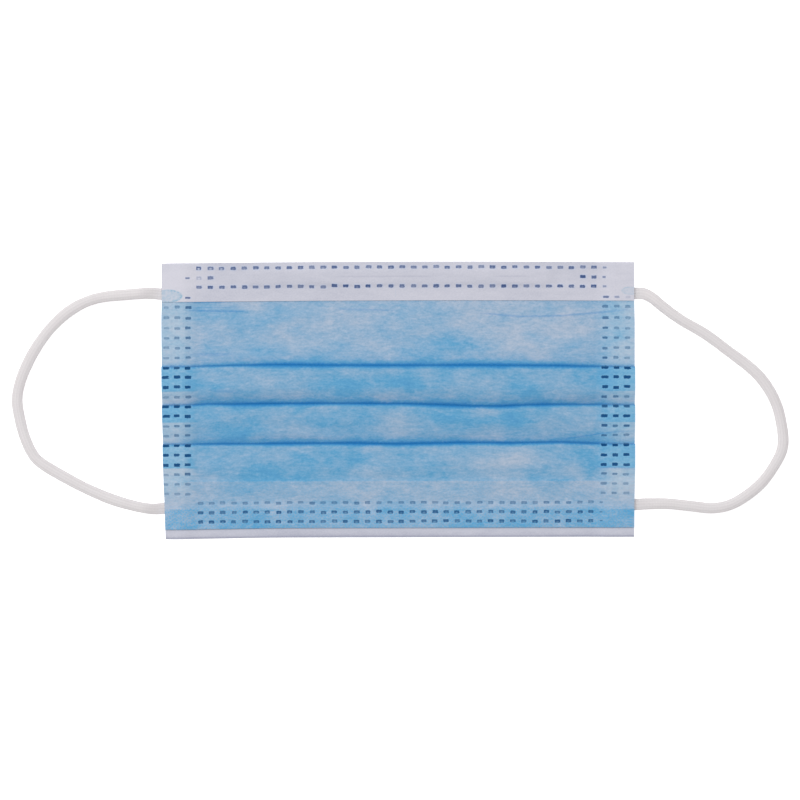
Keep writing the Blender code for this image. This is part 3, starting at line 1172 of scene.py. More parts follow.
    def welded(self, add: partial, colour: Socket, in_mm: Socket) -> tuple[Socket, Socket]:
        """Draws the welds as rounded boxes of melted film, some with a light middle.

        Args:
            add: Adds a node to the material.
            colour: The colour without them.
            in_mm: The place on the cloth, in millimetres.

        Returns:
            The colour with them, and how far the surface is film.
        """
        place = add("Attribute", None, "Vector", attribute_name="weld_place")
        ring = add("SeparateXYZ", {0: place}, "Z")
        tone = add("Attribute", None, "Fac", attribute_name="weld_tone")
        fray = add("TexNoise", {"Vector": in_mm, "Scale": 2.2, "Detail": 1.0}, "Color")
        centre = tuple(0.0 - part / 2 for part in self.weld_fray)
        centred = {0: fray, 1: self.weld_fray, 2: centre}
        fray = add("VectorMath", centred, operation="MULTIPLY_ADD")
        flat = add("VectorMath", {0: place, 1: (1.0, 1.0, 0.0), 2: fray}, operation="MULTIPLY_ADD")
        size = add("VectorMath", {0: flat}, operation="ABSOLUTE")
        corner = add("VectorMath", {0: size, 1: self.weld_box}, operation="SUBTRACT")
        corner = add("VectorMath", {0: corner, 1: (0.0, 0.0, 0.0)}, operation="MAXIMUM")
        away = add("VectorMath", {0: corner}, "Value", operation="LENGTH")
        full, gone = self.weld_rim
        inside = add("MapRange", {0: away, 1: full, 2: gone, 3: 1.0, 4: 0.0}, **EASED)
        lower = add("VectorMath", {0: flat, 1: self.core_drop})
        core = add("VectorMath", {0: lower}, "Value", operation="LENGTH")
        full, gone = self.core_rim
        core = add("MapRange", {0: core, 1: full, 2: gone, 3: self.core_light, 4: 0.0}, **EASED)
        core = add("Math", {0: core, 1: ring}, operation="MULTIPLY")
        kept = add("Math", {0: 1.0, 1: core}, operation="SUBTRACT")
        film = add("Math", {0: inside, 1: kept}, operation="MULTIPLY")
        film = add("Math", {0: film, 1: tone}, operation="MULTIPLY")
        full, gone = self.halo_rim
        halo = add("MapRange", {0: away, 1: full, 2: gone, 3: self.halo_share, 4: 0.0}, **EASED)
        halo = add("Math", {0: halo, 1: tone}, operation="MULTIPLY")
        colour = add("Mix", {0: halo, 6: colour, 7: linear(self.halo)}, 2, **COLOURS)
        colour = add("Mix", {0: film, 6: colour, 7: linear(self.weld)}, 2, **COLOURS)
        return colour, film


BLUE_SPUNBOND = SpunbondFinish(
    name="blue_spunbond_polypropylene",
    bare="#A8B6C9",
    dense="#5F9FC7",
    deep="#2F86C4",
    # Dark blue of the pleats' edges, partly dyed layers seen edge-on and partly painted shade; also
    # the painted crease shade.
    line="#247DBD",
    weld="#084A7C",
    halo="#7FBAE0",
    imprint="#B4DCEC",
    layers=(
        NoiseLayer(22.0, 13.0, 1.4, detail=2.0),
        NoiseLayer(7.0, 4.0, 0.75, 0.01),
        NoiseLayer(2.7, 1.0, 0.75, 0.03),
        NoiseLayer(0.9, 0.6, 0.35, 0.03, 1.0),
    ),
    bond_tint=0.42,
    halo_share=0.35,
)

WHITE_SPUNBOND = SpunbondFinish(
    name="white_spunbond_polypropylene",
    bare="#CDCCD6",
    dense="#BEBFCB",
    deep="#A5A7B8",
    # Grey of the painted shade along the chin turn and the band's creases.
    line="#8C8FA6",
    weld="#3F5583",
    halo="#BCC8E2",
    imprint="#8DB2C9",
    layers=(
        NoiseLayer(30.0, 9.0, 1.2, detail=2.0),
        NoiseLayer(5.0, 1.6, 0.6, 0.02),
        NoiseLayer(0.9, 0.6, 0.4, 0.03, 1.0),
    ),
    bond_tint=0.2,
    halo_share=0.6,
    shade=0.03,
)


@dataclass(frozen=True)
class MeltblownFinish:
    """Meltblown polypropylene: very fine fibres blown onto a belt. Only its cut edge can be seen,
    as a dense white felt with no bonds in it."""

    name: str = "white_meltblown_polypropylene"
    light: str = "#ECECEC"
    shade: str = "#D6D7DA"
    clump_mm: float = 2.5

    def make(self) -> bpy.types.Material:
        """Builds the material.

        Returns:
            The finished material.
        """
        material, add = start_material(self.name, {"Roughness": 0.92, "IOR": 1.49})
        place = add("Attribute", None, "Vector", attribute_name="cloth_place")
        size = 1 / (self.clump_mm * MM)
        clumps = add("TexNoise", {"Vector": place, "Scale": size, "Detail": 4.0}, "Fac")
        colour = add("Mix", {0: clumps, 6: linear(self.light), 7: linear(self.shade)}, 2, **COLOURS)
        bump = add("Bump", {"Height": clumps, "Distance": 0.05 * MM})
        return linked(material, {"Base Color": colour, "Normal": bump})


@dataclass(frozen=True)
class CoatedWireFinish:
    """A soft iron core drawn through polyethylene: a smooth satin plastic with fine lines along the
    way that it was drawn."""

    name: str = "drawn_polyethylene_wire"
    light: str = "#E4E4E4"
    shade: str = "#CFD0D2"
    line_mm: tuple[float, float] = (14.0, 0.35)

    def make(self) -> bpy.types.Material:
        """Builds the material.

        Returns:
            The finished material.
        """
        material, add = start_material(self.name, {"Roughness": 0.42, "IOR": 1.51})
        place = add("TexCoord", None, "Object")
        size = (1 / (self.line_mm[0] * MM), 1 / (self.line_mm[1] * MM), 1 / MM)
        drawn = add("VectorMath", {0: place, 1: size}, operation="MULTIPLY")
        lines = add("TexNoise", {"Vector": drawn, "Scale": 1.0}, "Fac")
        colour = add("Mix", {0: lines, 6: linear(self.light), 7: linear(self.shade)}, 2, **COLOURS)
        bump = add("Bump", {"Height": lines, "Distance": 0.02 * MM})
        return linked(material, {"Base Color": colour, "Normal": bump})


@dataclass(frozen=True)
class KnittedElasticFinish:
    """Round knitted elastic: polyester yarn knitted in fine ribs round a stretchy core. It gives
    the eye an off-white cord with small slanted stitches and a soft, slightly fuzzy edge. The
    stitches are in the mesh; the material adds the shade between them and the yarn's fibres."""

    name: str = "white_knitted_elastic"
    light: str = "#E2DFE0"
    shade: str = "#C9C4C6"
    tint: str = "#DAD4D5"
    patch_mm: float = 9.0
    fibre_mm: tuple[float, float] = (0.9, 0.25)

    def make(self) -> bpy.types.Material:
        """Builds the material.

        Returns:
            The finished material.
        """
        even = {"Roughness": 0.85, "Sheen Weight": 0.15, "Sheen Roughness": 0.5}
        material, add = start_material(self.name, even)
        place = add("Attribute", None, "Vector", attribute_name="cord_place")
        valley = add("Attribute", None, "Fac", attribute_name="valley")
        patches = add("TexNoise", {"Vector": place, "Scale": 1 / (self.patch_mm * MM)}, "Fac")
        size = (1 / (self.fibre_mm[0] * MM), 1 / (self.fibre_mm[1] * MM), 1.0)
        yarn = add("VectorMath", {0: place, 1: size}, operation="MULTIPLY")
        fibres = add("TexNoise", {"Vector": yarn, "Scale": 1.0, "Detail": 3.0}, "Fac")
        colour = add("Mix", {0: patches, 6: linear(self.light), 7: linear(self.tint)}, 2, **COLOURS)
        between = add("Math", {0: valley, 1: fibres}, operation="MULTIPLY")
        colour = add("Mix", {0: between, 6: colour, 7: linear(self.shade)}, 2, **COLOURS)
        bump = add("Bump", {"Height": fibres, "Distance": 0.06 * MM})
        return linked(material, {"Base Color": colour, "Normal": bump})


@dataclass(frozen=True)
class BacklitAcrylicFinish:
    """White opal acrylic with a light behind it, as product pictures are taken on: it shows as an
    even white, and shadows on it nearly vanish."""

    name: str = "backlit_opal_acrylic"
    face: str = "#F4F4F4"
    cloud: str = "#F0F0F0"
    glow: float = 0.55

    def make(self) -> bpy.types.Material:
        """Builds the material.

        Returns:
            The finished material.
        """
        lit = {"Emission Color": linear(self.face), "Emission Strength": self.glow}
        material, add = start_material(self.name, {"Roughness": 0.7, **lit})
        place = add("TexCoord", None, "Object")
        clouds = add("TexNoise", {"Vector": place, "Scale": 3.0}, "Fac")
        colour = add("Mix", {0: clouds, 6: linear(self.face), 7: linear(self.cloud)}, 2, **COLOURS)
        return linked(material, {"Base Color": colour})


@dataclass
class Studio:
    """A plain white table with soft light, and a camera straight above the mask.

    Attributes:
        picture_width: How wide the picture is on the mask's plane.
        looks_at: The place at the picture's middle.
        lens: The camera's focal length, in millimetres.
        sensor: Its sensor's width, in millimetres.
        table_size: The table's width.
        sky: The even light's strength.
        lamp_height: How high the lamps stand.
        lamp_size: How wide they are.
    """

    picture_width: float = 296.7 * MM
    looks_at: tuple[float, float, float] = (0.66 * MM, 0.0, 2.5 * MM)
    lens: float = 145.0
    sensor: float = 36.0
    table_size: float = 6.0
    sky: float = 0.50
    lamp_height: float = 1.6
    lamp_size: float = 1.1

    def add_camera(self) -> None:
        """Adds the camera, at the height from which the picture has the photograph's width."""
        data = bpy.data.cameras.new("camera")
        data.lens = self.lens
        data.sensor_width = self.sensor
        data.clip_start, data.clip_end = 0.01, 50.0
        camera = add_object("camera", data)
        height = self.picture_width * self.lens / self.sensor
        camera.location = (self.looks_at[0], self.looks_at[1], self.looks_at[2] + height)
        bpy.context.scene.camera = camera

    def add_light(self) -> None:
        """Adds the sky's even light and two large soft lamps."""
        world = bpy.data.worlds.new("studio")
        world.use_nodes = True
        back = world.node_tree.nodes["Background"]
        back.inputs["Color"].default_value = (1.0, 1.0, 1.0, 1.0)
        back.inputs["Strength"].default_value = self.sky
        bpy.context.scene.world = world
        for name, x, y, power in (
            ("lamp_nose_side", -0.2, 0.45, 15.0),
            ("lamp_left", -1.0, 0.2, 4.5),
        ):
            light = bpy.data.lights.new(name, "AREA")
            light.size = self.lamp_size
            light.energy = power
            lamp = add_object(name, light)
            lamp.location = (x, y, self.lamp_height)
            tilt = math.atan2(math.hypot(x, y), self.lamp_height)
            lamp.rotation_euler = (tilt, 0.0, math.atan2(-x, y) + math.pi)

    def add_table(self) -> None:
        """Adds the table that the mask lies on."""
        half = self.table_size / 2
        mesh = bpy.data.meshes.new("table")
        corners = [(-half, -half, 0.0), (half, -half, 0.0), (half, half, 0.0), (-half, half, 0.0)]
        mesh.from_pydata(corners, [], [(0, 1, 2, 3)])
        mesh.materials.append(BacklitAcrylicFinish().make())
        add_object("table", mesh)


@dataclass
class EarLoop:
    """A round knitted elastic cord, each end pressed flat and welded under the mask's side.

    Attributes:
        node: The CAD node that it stands for.
        side: Which side of the mask it is on.
        ends: Where along Y it leaves the mask, at its nose end and its chin end.
        route: How far outside the mask's side it lies, and where along Y, in millimetres.
        diameter: The round cord's diameter.
        pressed_thickness: How thick its pressed ends are.
        pressed_widening: How much wider they are.
        pressed_length: How far they reach under the mask.
        edge_room: How far outside the mask the cord is still flat.
        pressing_run: Over what length past that it turns round.
        end_rounding: Its width at its very ends, as a share of its width.
        end_run: Over what length the ends round off.
        ring_spacing: From ring to ring of its mesh.
        around: How many points a ring has.
        ribs: How many ribs of stitches run along it.
        stitch: A stitch's length.
        stitch_lean: How far a stitch leans, as a share of its length.
        stitch_relief: How far the stitches stand out.
        unevenness: How much its thickness wanders.
    """

    node: str
    side: Side
    ends: tuple[float, float]
    route: tuple[tuple[float, float], ...]
    diameter: float = 4.05 * MM
    pressed_thickness: float = 1.0 * MM
    pressed_widening: float = 1.06
    pressed_length: float = 6.5 * MM
    edge_room: float = 0.5 * MM
    pressing_run: float = 9.0 * MM
    end_rounding: float = 0.6
    end_run: float = 2.0 * MM
    ring_spacing: float = 0.22 * MM
    around: int = 48
    ribs: int = 12
    stitch: float = 1.0 * MM
    stitch_lean: float = 0.45
    stitch_relief: float = 0.055 * MM
    unevenness: float = 0.05 * MM

    def side_edge(self, y: float) -> float:
        """Returns the x of the mask's side at y."""
        lean = LEFT_LEAN * (NOSE_Y - y) / MASK_HEIGHT if self.side is Side.LEFT else 0.0
        return self.side.value * HALF_WIDTH + lean

    def path(self) -> np.ndarray:
        """Lays the cord's whole line.

        Returns:
            Its points, at an even spacing, with the straight ends that lie under the mask.
        """
        across, height = self.side.value, self.diameter / 2
        first, last = [
            np.array([self.side_edge(y) + across * self.edge_room, y, height]) for y in self.ends
        ]
        outside = [
            np.array([across * (HALF_WIDTH + out * MM), y * MM, height]) for out, y in self.route
        ]
        under = np.array([across * (self.pressed_length + self.edge_room), 0.0, 0.0])
        curve = smooth_route([first, *outside, last])
        whole = np.concatenate([[first - under], curve, [last - under]])
        steps = np.linalg.norm(np.diff(whole, axis=0), axis=1)
        length = np.append(0.0, np.cumsum(steps))
        count = round(length[-1] / self.ring_spacing)
        marks = np.linspace(0.0, length[-1], count + 1)
        return np.stack([np.interp(marks, length, whole[:, axis]) for axis in range(3)], axis=1)

    def build(self, finish: bpy.types.Material) -> bpy.types.Object:
        """Args:
            finish: The knitted elastic's material.

        Returns:
            The cord's object.
        """
        path = self.path()
        length = np.append(0.0, np.cumsum(np.linalg.norm(np.diff(path, axis=0), axis=1)))
        turn = np.linspace(0.0, math.tau, self.around, endpoint=False)[None]
        rib = turn * self.ribs / math.tau
        lean = np.abs(rib % 1.0 - 0.5) * 2.0  # 0 in the middle of a rib, 1 between two
        along = length[:, None] / self.stitch + self.stitch_lean * lean
        loop = 0.5 + 0.5 * np.cos(math.tau * along)
        relief = (1.0 - lean**2) * (0.55 + 0.45 * loop)
        wander = Ripples(11 + self.side.value, 16 * MM, 1.6).at(length[:, None], turn / math.tau)
        radius = (
            self.diameter / 2
            + self.stitch_relief * (relief - 0.45)
            + self.unevenness * np.clip(wander, -1.5, 1.0)
        )
        heading = unit(np.gradient(path, axis=0))
        sideways = np.stack([-heading[:, 1], heading[:, 0], np.zeros(len(path))], axis=1)
        out = np.maximum(
            self.side.value * (path[:, 0] - [self.side_edge(y) for y in path[:, 1]])
            - self.edge_room,
            0.0,
        )
        roundness = smooth(out, 0.0, self.pressing_run)
        flat = self.pressed_thickness / self.diameter
        tall = flat + (1.0 - flat) * roundness
        wide = self.pressed_widening + (1.0 - self.pressed_widening) * roundness
        tip = np.minimum(length, length[-1] - length)
        wide *= self.end_rounding + (1.0 - self.end_rounding) * smooth(tip, 0.0, self.end_run)
        centre = path * [1.0, 1.0, 0.0] + np.array([0.0, 0.0, 1.0]) * (tall * path[:, 2])[:, None]
        points = (
            centre[:, None]
            + sideways[:, None] * (radius * np.cos(turn) * wide[:, None])[..., None]
            + np.array([0.0, 0.0, 1.0]) * (radius * np.sin(turn) * tall[:, None])[..., None]
        )
        points[..., 2] = np.maximum(points[..., 2], 0.0)
        mesh = self.tube(points)
        place = np.broadcast_arrays(length[:, None], turn * self.diameter / 2, 0.0 * radius)
        place = np.stack(place, axis=-1).reshape(-1, 3)
        store(mesh, "cord_place", np.concatenate([place, np.zeros((2, 3))]))
        store(mesh, "valley", np.append((1.0 - relief).ravel(), [0.0, 0.0]))
        mesh.materials.append(finish)
        mesh.shade_smooth()
        cord = add_object(self.node + "_knit", mesh)
        self.declare(cord)
        return cord

    def tube(self, points: np.ndarray) -> bpy.types.Mesh:
        """Joins rings of points into a closed tube.

        Args:
            points: The rings, as rings, points around and 3.

        Returns:
            The tube's mesh; its last two points are the middles of its ends.
        """
        rings, around = points.shape[:2]
        numbers = np.arange(rings * around).reshape(rings, around)
        ahead = np.roll(numbers, -1, axis=1)
        walls = np.stack([numbers[:-1], ahead[:-1], ahead[1:], numbers[1:]], axis=-1)
        walls = walls.reshape(-1, 4)[:, ::-1]
        first, last = rings * around, rings * around + 1
        caps = [(first, int(a), int(b)) for a, b in zip(numbers[0], ahead[0])]
        caps += [(last, int(b), int(a)) for a, b in zip(numbers[-1], ahead[-1])]
        middles = [points[0].mean(axis=0), points[-1].mean(axis=0)]
        vertices = np.concatenate([points.reshape(-1, 3), middles])
        mesh = bpy.data.meshes.new(self.node + "_knit")
        mesh.from_pydata(vertices.tolist(), [], [*walls.tolist(), *caps])
        return mesh

    def declare(self, cord: bpy.types.Object) -> None:
        """Hangs the cord on the root body and hides the CAD part that it stands for.

        Args:
            cord: The cord's object.
        """
        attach(cord, "root")
        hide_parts(self.node)


def smooth_route(route: Sequence[np.ndarray]) -> np.ndarray:
    """Draws a smooth curve through a route's points.

    Args:
        route: The points.

    Returns:
        Points close together on the curve.
    """
    steps = 20
    fine = []
    padded = [route[0], *route, route[-1]]
    for before, start, end, after in zip(padded, padded[1:], padded[2:], padded[3:]):
        for t in np.arange(steps) / steps:
            bend = (2 * before - 5 * start + 4 * end - after) * t**2
            turn = (3 * start - before - 3 * end + after) * t**3
            fine.append(0.5 * (2 * start + (end - before) * t + bend + turn))
    return np.array([*fine, route[-1]])


@dataclass
class PlySheet:
    """One ply: a closed, folded sheet on its CAD solid's middle line, with the welds pressed in.

    Attributes:
        ply: Which ply it is.
        finish: Its material.
        slot: A name for its finish's slot; it is not used.
        runs: The stretches of it that show.
        half_thickness: Half the cloth's thickness.
        longest: The longest grid step on a shown stretch, and on a hidden one.
        puff: How far the cloth billows between its folds.
        crease_shades: The painted shade along its creases, as soft dark lines.
        patches: Its cloudy patches.
        extra_stops: The y of more grid lines, which its colours need.
        line_reach: How far from a fold its dark line, which holds painted shade, is drawn, in halves
            of the line's width.
        crease_shade_reach: The same for a crease's painted shade.
        edge_power: How the left side's lean grows; it is small near the nose edge.
        edge_out: How far the left side stands outside its straight line.
        edge_bulge: How far both sides bulge between the band and the chin edge.
        nose_bow: How far the nose edge's corners lie below its middle.
        band_rise: How far the band has moved towards the nose edge: everywhere, more to the
            right, and more at both ends.
        chin_tilt: How far the chin edge's right end lies above its middle.
        chin_dip: How far the white strip's left end dips.
        grid: The ply's line with the points of its grid.
        x: Each point's x, as columns and points.
        y: Its y on the straight mask.
    """

    ply: Ply
    finish: bpy.types.Material
    slot: str
    runs: tuple[ShownRun, ...]
    half_thickness: float = 0.11 * MM
    longest: tuple[float, float] = (1.3 * MM, 7.0 * MM)
    puff: float = 0.16 * MM
    crease_shades: tuple[CreaseShade, ...] = ()
    patches: tuple[Patch, ...] = ()
    extra_stops: tuple[float, ...] = ()
    line_reach: float = 4.0
    crease_shade_reach: float = 2.7
    edge_power: float = 1.7
    edge_out: float = 0.28 * MM
    edge_bulge: float = 0.22 * MM
    nose_bow: float = 0.7 * MM
    band_rise: tuple[float, float, float] = (0.48 * MM, 0.26 * MM, 0.2 * MM)
    chin_tilt: float = 0.22 * MM
    chin_dip: float = 0.45 * MM
    grid: GridLines = field(init=False)
    x: np.ndarray = field(init=False)
    y: np.ndarray = field(init=False)

    def build(self, lines: np.ndarray, columns: np.ndarray, welds: WeldPattern) -> bpy.types.Object:
        """Args:
            lines: The ply's middle line at every column.
            columns: Where each column is at the nose edge and at the chin edge.
            welds: The welds.

        Returns:
            The sheet's object.
        """
        stops = np.append(welds.row_stops(), self.extra_stops)
        self.grid = with_stops(lines, self.runs, stops, self.longest)
        self.y = self.grid.line[..., 0]
        below_nose = share_down(self.y)
        self.x = columns[0][:, None] + (columns[1] - columns[0])[:, None] * below_nose
        at_edge = smooth(columns[0], -HALF_WIDTH + 2 * MM, -HALF_WIDTH)[:, None]
        sag = below_nose ** self.edge_power - below_nose
        self.x += at_edge * (LEFT_LEAN * sag - self.edge_out)
        bulge = smooth(below_nose, 0.13, 0.22) * smooth(below_nose, 1.0, 0.7) * self.edge_bulge
        self.x += (smooth(columns[0], HALF_WIDTH - 2 * MM, HALF_WIDTH)[:, None] - at_edge) * bulge
        normals, stretch = outward(self.grid.line)
        moved = self.grid.line + normals * self.displacement(columns[0], welds)[..., None]
        half = normals * (self.half_thickness * stretch)[..., None]
        front, back = self.laid(moved + half), self.laid(moved - half)
        mesh = self.closed(front, back)
        self.paint(mesh, columns[0], welds)
        mesh.materials.append(self.finish)
        mesh.shade_smooth()
        mesh.set_sharp_from_angle(angle=SHARP)
        sheet = add_object(self.ply.value + "_cloth", mesh)
        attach(sheet, "root")
        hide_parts(self.ply.value)
        return sheet

    def laid(self, line: np.ndarray) -> np.ndarray:
        """Lays the straight mask's points as its bowed and tilted edges lie.

        Args:
            line: y and z, as columns, points and 2.

        Returns:
            Places, as columns, points and 3.
        """
        out = self.x / HALF_WIDTH
        below_nose = share_down(self.y)
        edges = self.chin_tilt * out * below_nose - self.nose_bow * out**2 * (1.0 - below_nose)
        middle, tilt, ends = self.band_rise
        edges += (middle + tilt * out + ends * out**2) * smooth(below_nose, 0.22, 0.13)
        edges -= self.chin_dip * smooth(out, -0.45, -0.95) * smooth(below_nose, 0.945, 0.965)
        for pleat, sway in zip(PLEATS, PLEAT_SWAYS):
            places = np.array(sway) * MM
            near = smooth(np.abs(self.y - pleat.edge_y), 12 * MM, 1.5 * MM)
            edges += near * np.interp(self.x, places[:, 0], places[:, 1])
        height = np.maximum(line[..., 1], 0.0)
        return np.stack([self.x, line[..., 0] + edges, height], axis=-1)

    def point_runs(self) -> np.ndarray:
        """Returns for each point the number of its shown run, or -1."""
        before = np.append(-1, self.grid.cell_shown)
        after = np.append(self.grid.cell_shown, -1)
        return np.maximum(before, after)

    def openness(self, margin: float) -> np.ndarray:
        """Measures how far each point is from the ends of its shown stretch.

        Args:
            margin: The distance over which it eases to 1.

        Returns:
            0 at the ends and where hidden, 1 in the open, as columns and points.
        """
        runs = self.point_runs()
        share = np.zeros(self.y.shape)
        for number, run in enumerate(self.runs):
            here = smooth(self.y, run.low, run.low + margin)
            here = here * smooth(self.y, run.high, run.high - margin)
            share = np.where(runs == number, here, share)
        return share

    def displacement(self, nose_x: np.ndarray, welds: WeldPattern) -> np.ndarray:
        """Works out how far each point stands off the flat fold.

        Args:
            nose_x: Where each column is at the nose edge.
            welds: The welds.

        Returns:
            The distances towards the cloth's outer side, as columns and points.
        """
        columns, rows = welds.nearest(nose_x, self.y[len(self.y) // 2])
        columns, rows = np.broadcast_arrays(columns[:, None], rows[None])
        across, along = welds.local(self.x, self.y, columns, rows)
        rim = welds.pressed_rim
        inside = np.clip((1.0 - np.abs(across)) * welds.half_size[0] / rim, 0.0, 1.0)
        inside = inside * np.clip((1.0 - np.abs(along)) * welds.half_size[1] / rim, 0.0, 1.0)
        runs = self.point_runs()
        pressed = np.array([0 if number < 0 else self.runs[number].pressed for number in runs])
        dent = inside * (welds.tone[columns, rows] > 0) * pressed * welds.depth
        length = self.grid.length
        billow = Ripples(21, 60 * MM, 12 * MM).at(self.x, length)
        billow = billow + 0.6 * Ripples(22, 22 * MM, 5 * MM).at(self.x, length)
        free = smooth(HALF_WIDTH - np.abs(self.x), 8 * MM, 18 * MM)
        lifted = np.clip(0.5 + 0.5 * billow, 0.0, 2.0) * self.openness(3.5 * MM) * free
        return dent + lifted * self.puff * (pressed != 0)

    def closed(self, front: np.ndarray, back: np.ndarray) -> bpy.types.Mesh:
        """Joins the two faces of the sheet into one closed mesh.

        Args:
            front: The outer face's points, as columns, points and 3.
            back: The inner face's.

        Returns:
            The mesh: the outer face's cells, the inner face's and then the rim's.
        """
        numbers = np.arange(front.size // 3).reshape(front.shape[:2])
        below = numbers + numbers.size
        top = cell_corners(numbers).reshape(-1, 4)
        faces = [top, top[:, ::-1] + numbers.size]
        for edge, under in (
            (numbers[0], below[0]),
            (numbers[-1, ::-1], below[-1, ::-1]),
            (numbers[::-1, 0], below[::-1, 0]),
            (numbers[:, -1], below[:, -1]),
        ):
            faces.append(np.stack([edge[1:], edge[:-1], under[:-1], under[1:]], axis=-1))
        mesh = bpy.data.meshes.new(self.ply.value + "_cloth")
        vertices = np.concatenate([front.reshape(-1, 3), back.reshape(-1, 3)])
        mesh.from_pydata(vertices.tolist(), [], np.concatenate(faces).tolist())
        return mesh

    def paint(self, mesh: bpy.types.Mesh, nose_x: np.ndarray, welds: WeldPattern) -> None:
        """Gives the mesh the attributes that its material reads.

        Args:
            mesh: The sheet's mesh.
            nose_x: Where each column is at the nose edge.
            welds: The welds.
        """
        length = self.grid.length
        place = np.stack(np.broadcast_arrays(nose_x[:, None], length, 0.0 * length), axis=-1)
        for name, values in (
            ("cloth_place", place),
            ("line_place", self.nearest_mark(self.fold_lines(), self.line_reach)),
            ("crease_shade_place", self.nearest_mark(self.crease_shade_lines(), self.crease_shade_reach)),
            ("imprint_place", self.imprint_place()),
            ("web_density", self.density()),
            ("bonds", self.bonds()),
        ):
            one = values.reshape(-1, 3) if values.ndim == 3 else values.ravel()
            store(mesh, name, np.concatenate([one, one]))
        self.paint_welds(mesh, nose_x, welds)

    def paint_welds(self, mesh: bpy.types.Mesh, nose_x: np.ndarray, welds: WeldPattern) -> None:
        """Tells each cell's corners where they are on the nearest weld.

        Args:
            mesh: The sheet's mesh.
            nose_x: Where each column is at the nose edge.
            welds: The welds.
        """
        middle = self.y[len(self.y) // 2]
        columns, rows = welds.nearest((nose_x[1:] + nose_x[:-1]) / 2, (middle[1:] + middle[:-1]) / 2)
        columns, rows = np.broadcast_arrays(columns[:, None, None], rows[None, :, None])
        x, y = cell_corners(self.x), cell_corners(self.y)
        across, along = welds.local(x, y, columns, rows)
        shown = np.broadcast_to((self.grid.cell_shown >= 0)[None, :, None], across.shape)
        tone = np.where(shown, welds.tone[columns, rows], 0.0) + 0.0 * across
        ring = welds.ring[columns, rows] + 0.0 * across
        across, along = (np.where(tone > 0, part, FAR) for part in (across, along))
        place = np.stack([across, along, ring], axis=-1)
        under_place, under_tone = place[:, :, ::-1], tone[:, :, ::-1]
        rim = len(mesh.loops) - 2 * tone.size
        place = np.concatenate(
            [place.reshape(-1, 3), under_place.reshape(-1, 3), np.full((rim, 3), FAR)]
        )
        tone = np.concatenate([tone.ravel(), under_tone.ravel(), np.zeros(rim)])
        store(mesh, "weld_place", place, "CORNER")
        store(mesh, "weld_tone", tone, "CORNER")

    def nearest_mark(self, marks: Sequence[Mark], reach: float) -> np.ndarray:
        """Measures from the nearest one of some marks.

        Args:
            marks: The marks.
            reach: How far a mark can be seen, in halves of its width.

        Returns:
            For each point how far it is from the nearest mark, in halves of the mark's width, how
            dark that mark is, and 0.
        """
        distance = np.full(self.y.shape, FAR)
        strength = np.zeros(self.y.shape)
        for away, dark, here in marks:
            nearer = (np.abs(away) < np.abs(distance)) & here
            distance = np.where(nearer, away, distance)
            strength = np.where(nearer, dark, strength)
        strength = np.where(np.abs(distance) < reach, strength, 0.0)
        return np.stack([distance, strength, 0.0 * distance], axis=-1)

    def crease_shade_lines(self) -> list[Mark]:
        """Returns the painted shade along each crease, eased out at its ends."""
        marks = []
        for crease in self.crease_shades:
            spots = np.array(crease.points) * MM
            first, last = spots[0, 0], spots[-1, 0]
            ends = smooth(self.x, first - 4 * MM, first + 3 * MM)
            ends = ends * smooth(self.x, last + 4 * MM, last - 3 * MM)
            away = (self.y - np.interp(self.x, spots[:, 0], spots[:, 1])) / crease.half_width
            here = (ends > 0) & (self.point_runs() == crease.run)
            marks.append((away, crease.strength * ends, here))
        return marks

    def fold_lines(self) -> list[Mark]:
        """Returns the lines along the folds' edges, which hold painted shade; a plain sheet has
        none.
        """
        return []

    def imprint_place(self) -> np.ndarray:
        """Returns the place on a cord end's imprint, 1 at its rim, and how plain the imprint is."""
        return np.zeros((*self.y.shape, 3))

    def density(self) -> np.ndarray:
        """Returns how dense and deep in colour the cloth is at each point."""
        return np.zeros(self.y.shape)

    def bonds(self) -> np.ndarray:
        """Returns how plainly the point bonds show at each point."""
        return np.ones(self.y.shape)

    def patched(self, density: np.ndarray) -> np.ndarray:
        """Adds the cloudy patches to a density.

        Args:
            density: The density without them.

        Returns:
            The density with them.
        """
        for patch in self.patches:
            across = (self.x / MM - patch.centre[0]) / patch.size[0]
            along = (self.y / MM - patch.centre[1]) / patch.size[1]
            density = density + patch.amount * np.exp(-(across**2) - along**2)
        return density


